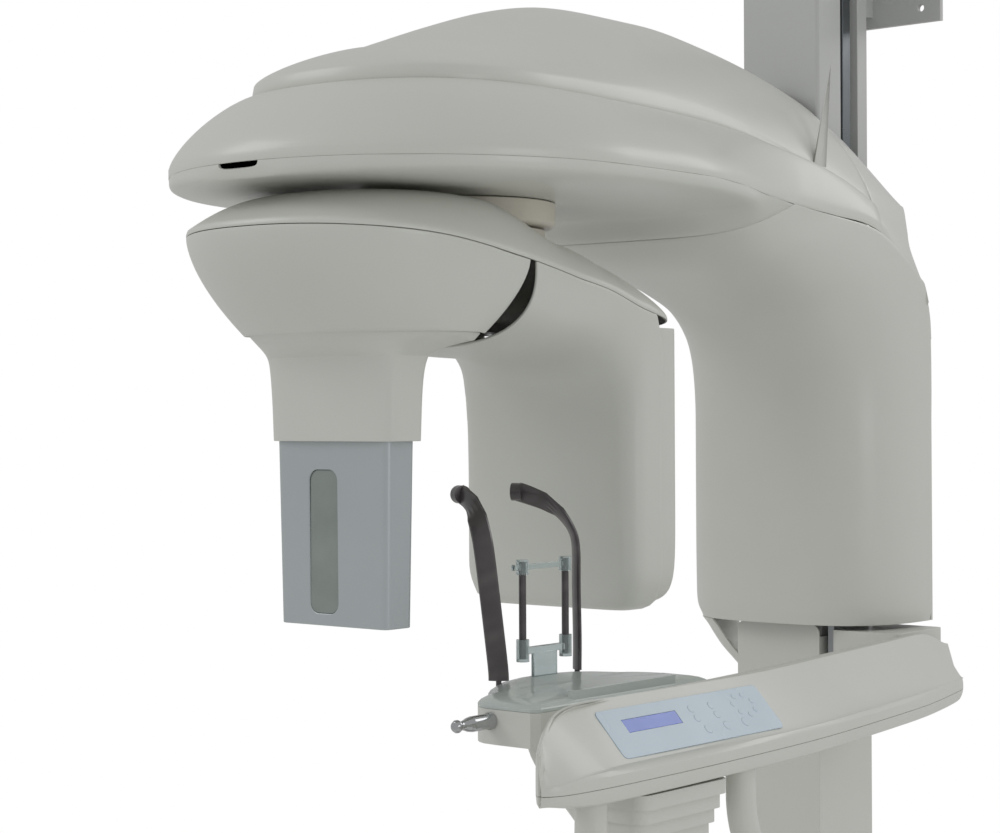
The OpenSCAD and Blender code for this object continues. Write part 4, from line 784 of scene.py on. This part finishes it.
@dataclass(frozen=True)
class ArmShape:
    """Outlines of the rotating arm, in millimetres, in the frame's axes."""

    axis: float = 730.0
    seam: float = 1855.0
    bulb_w: float = 175.0
    front: float = 330.0
    back: float = 270.0
    tube_w: float = 128.0
    tube_z: float = 1372.0
    gap: float = 0.6
    wall: float = 3.0
    neck_r: float = 107.0
    neck_z: float = 1786.0
    fillet: float = 70.0

    @property
    def arm_w(self) -> float:
        """Half width of the arm at the tube's end."""
        return self.tube_w + 4

    @property
    def tube_y(self) -> float:
        """The joint between the housing's front and rear covers."""
        return -self.axis + 208

    def rim_z(self, y: np.ndarray) -> np.ndarray:
        """Height of the rim between the top cover and the arm's sides."""
        a, s = -self.axis, self.seam
        places = (a - self.front, a - 220, a - 120, a + 30, a + 110, a + 170, a + self.back)
        return read(places, (s - 65, s - 75, s - 89, s - 107, s - 119, s - 137, s - 155), y)

    def rim_side(self, y: np.ndarray) -> np.ndarray:
        """Half width of the rim at y."""
        return blend(self.bulb_w, self.arm_w, ease(-self.axis - 150, -self.axis + 120, y))

    def rim(self) -> np.ndarray:
        """The rim's outline: a blunt nose, narrowing sides and a squarer tail."""
        a = -self.axis
        u = even_angles(2.4, 73)
        nose = np.c_[self.bulb_w * power(np.cos(u), 2 / 2.4),
                     a - 150 - (self.front - 150) * power(np.sin(u), 2 / 2.4)]
        y = np.linspace(a - 150, a + 170, 34)[1:-1]
        side = np.c_[-self.rim_side(y), y]
        u = even_angles(2.8, 61) + math.pi
        tail = np.c_[self.arm_w * power(np.cos(u), 2 / 2.8),
                     a + 170 - (self.back - 170) * power(np.sin(u), 2 / 2.8)]
        return np.vstack([nose, side, tail, (side * [-1, 1])[::-1]])

    def top(self) -> np.ndarray:
        """The top cover: an upright lip, a small radius, then a hump up to the neck."""
        rim = self.rim()
        d = rim - [0, -self.axis]
        neck = [0, -self.axis] + d * (self.neck_r / np.hypot(d[:, 0], d[:, 1]))[:, None]
        hump = 34 * ease(-self.axis + 60, -self.axis - 160, rim[:, 1]) + 6
        low = self.rim_z(rim[:, 1]) + self.gap
        rows = [np.c_[rim, low], np.c_[rim, low + 2]]
        for g in np.linspace(0, 1, 26) ** 1.4:
            z = blend(low + 4, self.neck_z, g**0.8) + hump * 4 * g * (1 - g)
            rows.append(np.c_[blend(rim, neck, 0.004 + 0.996 * g), z])
        return np.array(rows) * MM

    def bulb(self) -> np.ndarray:
        """The sensor end: it swells from the lower ring out to the rim as 1 - (1 - f)^1.6."""
        a = -self.axis
        t = np.linspace(0, 14, 113)
        u = np.radians(15 * np.clip(t - 1, 0, 12))
        x = self.bulb_w * power(np.cos(u), 2 / 2.4)
        y = a - 150 - (self.front - 150) * power(np.sin(u), 2 / 2.4)
        end = np.clip(1 - t, 0, 1) + np.clip(t - 13, 0, 1)
        y = y + 70 * end
        side = float(self.rim_side(np.array(a - 80.0)))
        x = x + np.sign(x) * (side - self.bulb_w) * end
        q = np.radians(-28 + 236 * t / 14)
        low = np.c_[140 * power(np.cos(q), 2 / 2.2), a - 155 - 100 * power(np.sin(q), 2 / 2.2)]
        z_low, z_top = self.seam - 170 + self.gap, self.rim_z(y)
        rows = []
        for f in np.linspace(0, 1, 26):
            rows.append(np.c_[blend(low, np.c_[x, y], 1 - (1 - f) ** 1.6), blend(z_low, z_top, f)])
        return np.array(rows) * MM

    def body(self) -> np.ndarray:
        """Arm underside and housing front as one flowing skin.

        Each row is a U from the left edge line round to the right.  The edge line
        runs back along the rim and then down the housing's joint; the bottom line
        runs back under the arm, turns down through a fillet and down the front
        face.  A row's width goes as cos^p and its depth as sin^q, and both grow
        squarer on the way to the housing.
        """
        a, low = -self.axis, self.seam - 193
        face, r = self.tube_y - 55, self.fillet
        t = np.linspace(0, 1, 97)
        places = np.array([0, 0.12, 0.3, 0.42, 0.55, 0.7, 0.85, 0.93, 0.965, 0.985, 1.0])
        foot = self.tube_z
        edge = np.array([
            [a - 66, 0], [a - 20, 0], [a + 60, 0], [a + 130, 0], [a + 190, 0], [self.tube_y, 1600],
            [self.tube_y, 1500], [self.tube_y, foot + 48], [self.tube_y, foot + 22], [self.tube_y, foot + 8],
            [self.tube_y, foot + 1.5]])
        c = np.cos(np.radians([0, 30, 60, 90]))
        s = np.sin(np.radians([0, 30, 60, 90]))
        arc = [[face - r + r * v, low - r + r * h] for h, v in zip(c, s, strict=True)]
        bottom = np.array([
            [a - 62, low + 12], [a - 10, low + 5], arc[0], arc[1], arc[2], [face, low - r - 26],
            [face, 1480], [face, foot + 48], [face + 2.5, foot + 22], [face + 6, foot + 8],
            [face + 14, foot + 1.5]])
        width = np.array([float(self.rim_side(np.array(a - 66.0))), float(self.rim_side(np.array(a - 20.0))),
                          float(self.rim_side(np.array(a + 60.0))), self.arm_w, self.arm_w, self.tube_w + 1,
                          self.tube_w, self.tube_w, self.tube_w - 5, self.tube_w - 13, self.tube_w - 28])
        edge_at, bottom_at = curve_through(places, edge, t), curve_through(places, bottom, t)
        on_rim = t <= 0.55
        edge_at[on_rim, 1] = self.rim_z(edge_at[on_rim, 0])
        turn = (t > 0.55) & (t < 0.7)
        k = (t[turn] - 0.55) / 0.15
        edge_at[turn, 0] = blend(a + 190, self.tube_y, np.clip(k * 2.2, 0, 1))
        start_z = float(self.rim_z(np.array(a + 190.0)))
        edge_at[turn, 1] = blend(start_z, 1600, np.clip((k - 0.12) / 0.88, 0, 1))
        width_at = curve_through(places, width, t)[:, 0]
        sharp = blend(0.75, 0.3, ease(0.3, 0.66, t))
        rows = []
        for e, b, w, p in zip(edge_at, bottom_at, width_at, sharp, strict=True):
            u = even_angles(2 / p, 73)
            x, d = -w * power(np.cos(u), p), power(np.sin(u), p)
            rows.append(np.c_[x, blend(e[0], b[0], d), blend(e[1], b[1], d)])
        return np.array(rows) * MM


@dataclass
class Assembly:
    """A sub-assembly of the machine, which dresses its own nodes.

    Attributes:
        nodes: The frame's node objects by name.
    """

    nodes: dict[str, bpy.types.Object]

    def dress(
        self, node: str, finish: Finish, make: Make = Make.MACHINED, edge_mm: float = 1.0, levels: int = 2
    ) -> bpy.types.Object:
        """Stand a finished copy in for a node.

        Args:
            node: The node's name.
            finish: Its material.
            make: How it is finished.
            edge_mm: Width of its rounded edges.
            levels: Subdivision of a moulded piece.

        Returns:
            The new piece.
        """
        source = self.nodes[node]
        mesh = merged_copy(source, make)
        piece = bpy.data.objects.new(f"{node}_skin", mesh)
        bpy.context.scene.collection.objects.link(piece)
        mesh.materials.clear()
        mesh.materials.append(finish.material())
        mesh.shade_smooth()
        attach(piece, source["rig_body"])
        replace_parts(piece, node)
        round_rims(piece, edge_mm)
        if make is Make.MOULDED:
            smooth_over(piece, levels)
        else:
            even_normals(piece)
        LOG.info("%s stands for %s", piece.name, node)
        return piece


@dataclass
class Column(Assembly):
    """Base plate, column with its guide rails, wall bracket, lift drive and mains inlet."""

    def build(self) -> None:
        """Dress every fixed node."""
        self.dress("base_plate", BASE, edge_mm=4)
        self.dress("column", COLUMN, edge_mm=0.8)
        self.dress("column_cap", COLUMN, edge_mm=2)
        self.dress("wall_bracket", COLUMN, edge_mm=1)
        # the rails' colour carries painted shade for the groove they sit in
        self.dress("guide_rails", GROOVE_SHADED_RAIL, edge_mm=1)
        self.dress("anchor_bolts", STEEL, edge_mm=0.6)
        self.dress("lift_motor", NYLON, edge_mm=1.5)
        self.dress("lift_screw", STEEL, edge_mm=0.5)
        self.dress("power_inlet", NYLON, edge_mm=0.8)
        self.dress("power_rocker", NYLON, edge_mm=0.5)


@dataclass
class Carriage(Assembly):
    """The lifted carriage: its frame, the covers of the head and the cover below them."""

    cover_edge_mm: float = 0.9

    def build(self) -> None:
        """Dress the frame and the covers."""
        for node in ("carriage_frame", "arm_beam", "stage_rails"):
            self.dress(node, STEEL, edge_mm=0.8)
        self.dress("bearing_blocks", NYLON, edge_mm=1)
        self.dress("lift_nut", BRASS, edge_mm=0.8)
        self.dress("lower_cover", COVER, edge_mm=0.8)
        self.head(HeadShape())

    def head(self, shape: HeadShape) -> None:
        """Build the head's covers from its outlines."""
        body = "carriage"
        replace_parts(sheet("carriage_cover", shape.shell_rows(shape.root_profile(), 7), COVER, body),
                    "root_shell")
        under = sheet("arm_underside", shape.shell_rows(shape.under_profile(), 6), COVER, body)
        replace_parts(under, "underside_cover")
        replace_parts(sheet("arm_brim", shape.brim(), COVER, body), "brim_cover")
        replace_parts(sheet("arm_hood", shape.hood_surface(), COVER, body), "hood_cover")
        right = shape.cheek()
        cheek = sheet("side_cover_right", right, COVER, body)
        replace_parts(cheek, "rear_panels")
        sheet("side_cover_left", right * [-1, 1, 1], COVER, body, flip=True)
        sheet("side_cover_lobe", shape.lobe(), COVER, body)
        outline = np.array(shape.cheek_end()) - [0.5, 0.5]
        outline = np.vstack([[[shape.slot, shape.foot], [shape.root_w, shape.foot]], outline[::-1]])
        for side, name in ((1, "back_plate_right"), (-1, "back_plate_left")):
            plate = np.c_[side * outline[:, 0], np.full(len(outline), shape.cheek_back - 0.2),
                          outline[:, 1]] * MM
            order = list(range(len(outline)))
            piece = new_piece(name, plate, [order if side < 0 else order[::-1]], COVER, body)
            piece.data.shade_flat()
            wall = piece.modifiers.new("wall", "SOLIDIFY")
            wall.thickness = 4 * MM
            wall.offset = -1


@dataclass
class Stage(Assembly):
    """The sliding stage that carries the collar, the bearing and the drive."""

    def build(self) -> None:
        """Dress the stage's nodes."""
        self.dress("stage_plate", STEEL, edge_mm=1)
        self.dress("collar", CREAM, edge_mm=1.2)
        self.dress("rotation_bearing", STEEL, edge_mm=0.6)
        self.dress("rotation_motor", NYLON, edge_mm=1)
        self.dress("drive_belt", RUBBER, edge_mm=0.4)
        self.dress("drive_pulley", ALUMINIUM, edge_mm=0.5)


@dataclass
class RotatingArm(Assembly):
    """Neck, arm covers, sensor and tube housing."""

    cover_edge_mm: float = 0.9

    def build(self) -> None:
        """Dress the arm and lay its smooth covers."""
        self.dress("gantry_shaft", CREAM, edge_mm=0.8)
        self.dress("gantry_frame", ALUMINIUM, edge_mm=1)
        for node in ("sensor_shroud", "tube_rear_cover"):
            self.dress(node, COVER, Make.MOULDED, self.cover_edge_mm)
        shape = ArmShape()
        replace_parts(sheet("arm_top", shape.top(), COVER, "gantry", wrap=True), "gantry_top_cover")
        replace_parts(sheet("arm_bulb", shape.bulb(), COVER, "gantry"), "bulb_shell")
        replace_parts(sheet("arm_body", shape.body(), COVER, "gantry"), "arm_lower_cover", "tube_front_cover")
        self.dress("sensor_case", SILVER, edge_mm=1.2)
        self.dress("sensor_window", WINDOW, edge_mm=0.4)
        self.dress("sensor_board", BOARD, edge_mm=0.3)
        self.dress("xray_tube_head", TANK, edge_mm=2)
        self.dress("collimator", NYLON, edge_mm=0.5)
        self.dress("shutter", STEEL, edge_mm=0.3)
        self.dress("laser_wheel", WHEEL, edge_mm=0.5)
        self.dress("laser_module", NYLON, edge_mm=0.3)


@dataclass
class Console(Assembly):
    """Console arm with its keys, display and grab handles."""

    cover_edge_mm: float = 0.9

    def build(self) -> None:
        """Dress the console's nodes."""
        self.dress("console_bracket", COVER, edge_mm=3)
        self.dress("console_beam", STEEL, edge_mm=0.8)
        self.dress("console_top_shell", COVER, Make.MOULDED, self.cover_edge_mm)
        self.dress("console_bottom_shell", COVER, Make.MOULDED, self.cover_edge_mm)
        self.dress("key_panel", FILM, edge_mm=0.2)
        self.dress("lcd_display", DISPLAY, edge_mm=0.2)
        self.dress("grab_handles", COVER, Make.MOULDED, 3.0)
        self.dress("hub_housing", COVER, edge_mm=2.5)


@dataclass
class ChinTable(Assembly):
    """Chin table with temple bars, knobs, chin piece and bite rods."""

    def build(self) -> None:
        """Dress the table's nodes."""
        self.dress("table_support", COVER, Make.MOULDED, 2.0)
        self.dress("table_body", COVER, edge_mm=1.5)
        self.dress("table_lid", LID, edge_mm=1.0)
        self.dress("temple_knobs", POLISHED, edge_mm=0.4)
        for node in ("temple_bar_left", "temple_bar_right"):
            self.dress(node, CARBON, Make.MOULDED, 0.8)
        self.dress("bite_rods", CARBON, edge_mm=0.5)
        self.dress("chin_rest", ACRYLIC, edge_mm=0.8)
        self.dress("bite_bar", ACRYLIC, edge_mm=0.8)


# ------------------------------------------------------------------ studio


@dataclass(frozen=True)
class Studio:
    """Plain pale floor, soft lights and the camera.

    Attributes:
        eye: The camera's place.
        heading: Degrees that the camera is turned to the left of +Y.
        roll: Degrees of roll.
        lens_mm: Focal length on a 36 mm sensor.
        shift: Vertical shift in image widths.
    """

    eye: tuple[float, float, float] = (1.644, -2.617, 1.60)
    heading: float = 40.0
    roll: float = -0.29
    lens_mm: float = 80.1
    shift: float = -0.0035
    ambient: float = 0.5
    floor_radius: float = 4.3

    def build(self) -> None:
        """Make the floor, the lights and the camera."""
        self.floor()
        self.light("key", (-2.6, -3.4, 4.2), (0.1, -0.5, 1.4), 2.2, 34)
        self.light("fill", (4.2, -1.2, 2.2), (0.1, -0.5, 1.4), 1.6, 14)
        self.light("back", (1.8, 3.0, 3.6), (0.0, -0.3, 1.6), 2.0, 22)
        self.surround()
        bpy.context.scene.view_settings.view_transform = "Standard"
        self.camera()

    def surround(self) -> None:
        """White all round to the eye, but dimmer as a light, so that pale covers keep their shading."""
        world = bpy.data.worlds.new("white_studio")
        world.use_nodes = True
        tree = world.node_tree
        tree.nodes.clear()
        seen = add_node(tree, "ShaderNodeBackground", {"Color": (1, 1, 1, 1), "Strength": 1.0})
        light = add_node(tree, "ShaderNodeBackground", {"Color": (1, 1, 1, 1), "Strength": self.ambient})
        path = add_node(tree, "ShaderNodeLightPath")
        both = add_node(
            tree, "ShaderNodeMixShader",
            {0: path.outputs["Is Camera Ray"], 1: light.outputs["Background"], 2: seen.outputs["Background"]},
        )
        add_node(tree, "ShaderNodeOutputWorld", {"Surface": both.outputs["Shader"]})
        bpy.context.scene.world = world

    def floor(self) -> None:
        """A wide round floor with a faint mottle."""
        turn = np.linspace(0, 2 * math.pi, 96, endpoint=False)
        reach = np.linspace(0.4, self.floor_radius, 5)[:, None]
        points = np.stack([reach * np.cos(turn), reach * np.sin(turn), 0 * reach * turn - 0.0004], axis=-1)
        mesh = bpy.data.meshes.new("floor")
        faces = grid_faces(5, 96, True)[:, ::-1].tolist() + [list(range(96))]
        mesh.from_pydata(points.reshape(-1, 3).tolist(), [], faces)
        floor = bpy.data.objects.new("floor", mesh)
        bpy.context.scene.collection.objects.link(floor)
        vinyl = Finish("studio_floor", "base_paint", "#F4F4F2", "#F0F0EE", 0.7, pitch_mm=3, relief_mm=0.02,
                       drift_mm=900)
        mesh.materials.append(vinyl.material())

    def light(
        self, name: str, place: tuple[float, float, float], aim: tuple[float, float, float], size: float,
        watts: float
    ) -> None:
        """A large soft light at place, turned to aim.

        Args:
            name: The light's name.
            place: Where it hangs.
            aim: What it points at.
            size: Side of its square.
            watts: Its power.
        """
        lamp = bpy.data.lights.new(name, "AREA")
        lamp.size = size
        lamp.energy = watts
        holder = bpy.data.objects.new(name, lamp)
        holder.location = place
        holder.rotation_euler = (Vector(aim) - Vector(place)).to_track_quat("-Z", "Y").to_euler()
        bpy.context.scene.collection.objects.link(holder)

    def camera(self) -> None:
        """A level camera at the operator's corner."""
        eye = bpy.data.cameras.new("camera")
        eye.lens = self.lens_mm
        eye.sensor_width = 36
        eye.shift_y = self.shift
        eye.clip_end = 100
        holder = bpy.data.objects.new("camera", eye)
        holder.location = self.eye
        holder.rotation_mode = "QUATERNION"
        upright = Euler((math.radians(90), 0, math.radians(self.heading))).to_quaternion()
        holder.rotation_quaternion = upright @ Euler((0, 0, math.radians(self.roll))).to_quaternion()
        bpy.context.scene.collection.objects.link(holder)
        bpy.context.scene.camera = holder


def main() -> None:
    """Build every sub-assembly in order, then the studio."""
    logging.basicConfig(level=logging.INFO, format="%(name)s: %(message)s")
    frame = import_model()
    for part in (Column, Carriage, Stage, RotatingArm, Console, ChinTable):
        LOG.info("building %s", part.__name__)
        part(frame["nodes"]).build()
    Studio().build()


if __name__ == "__main__":
    main()
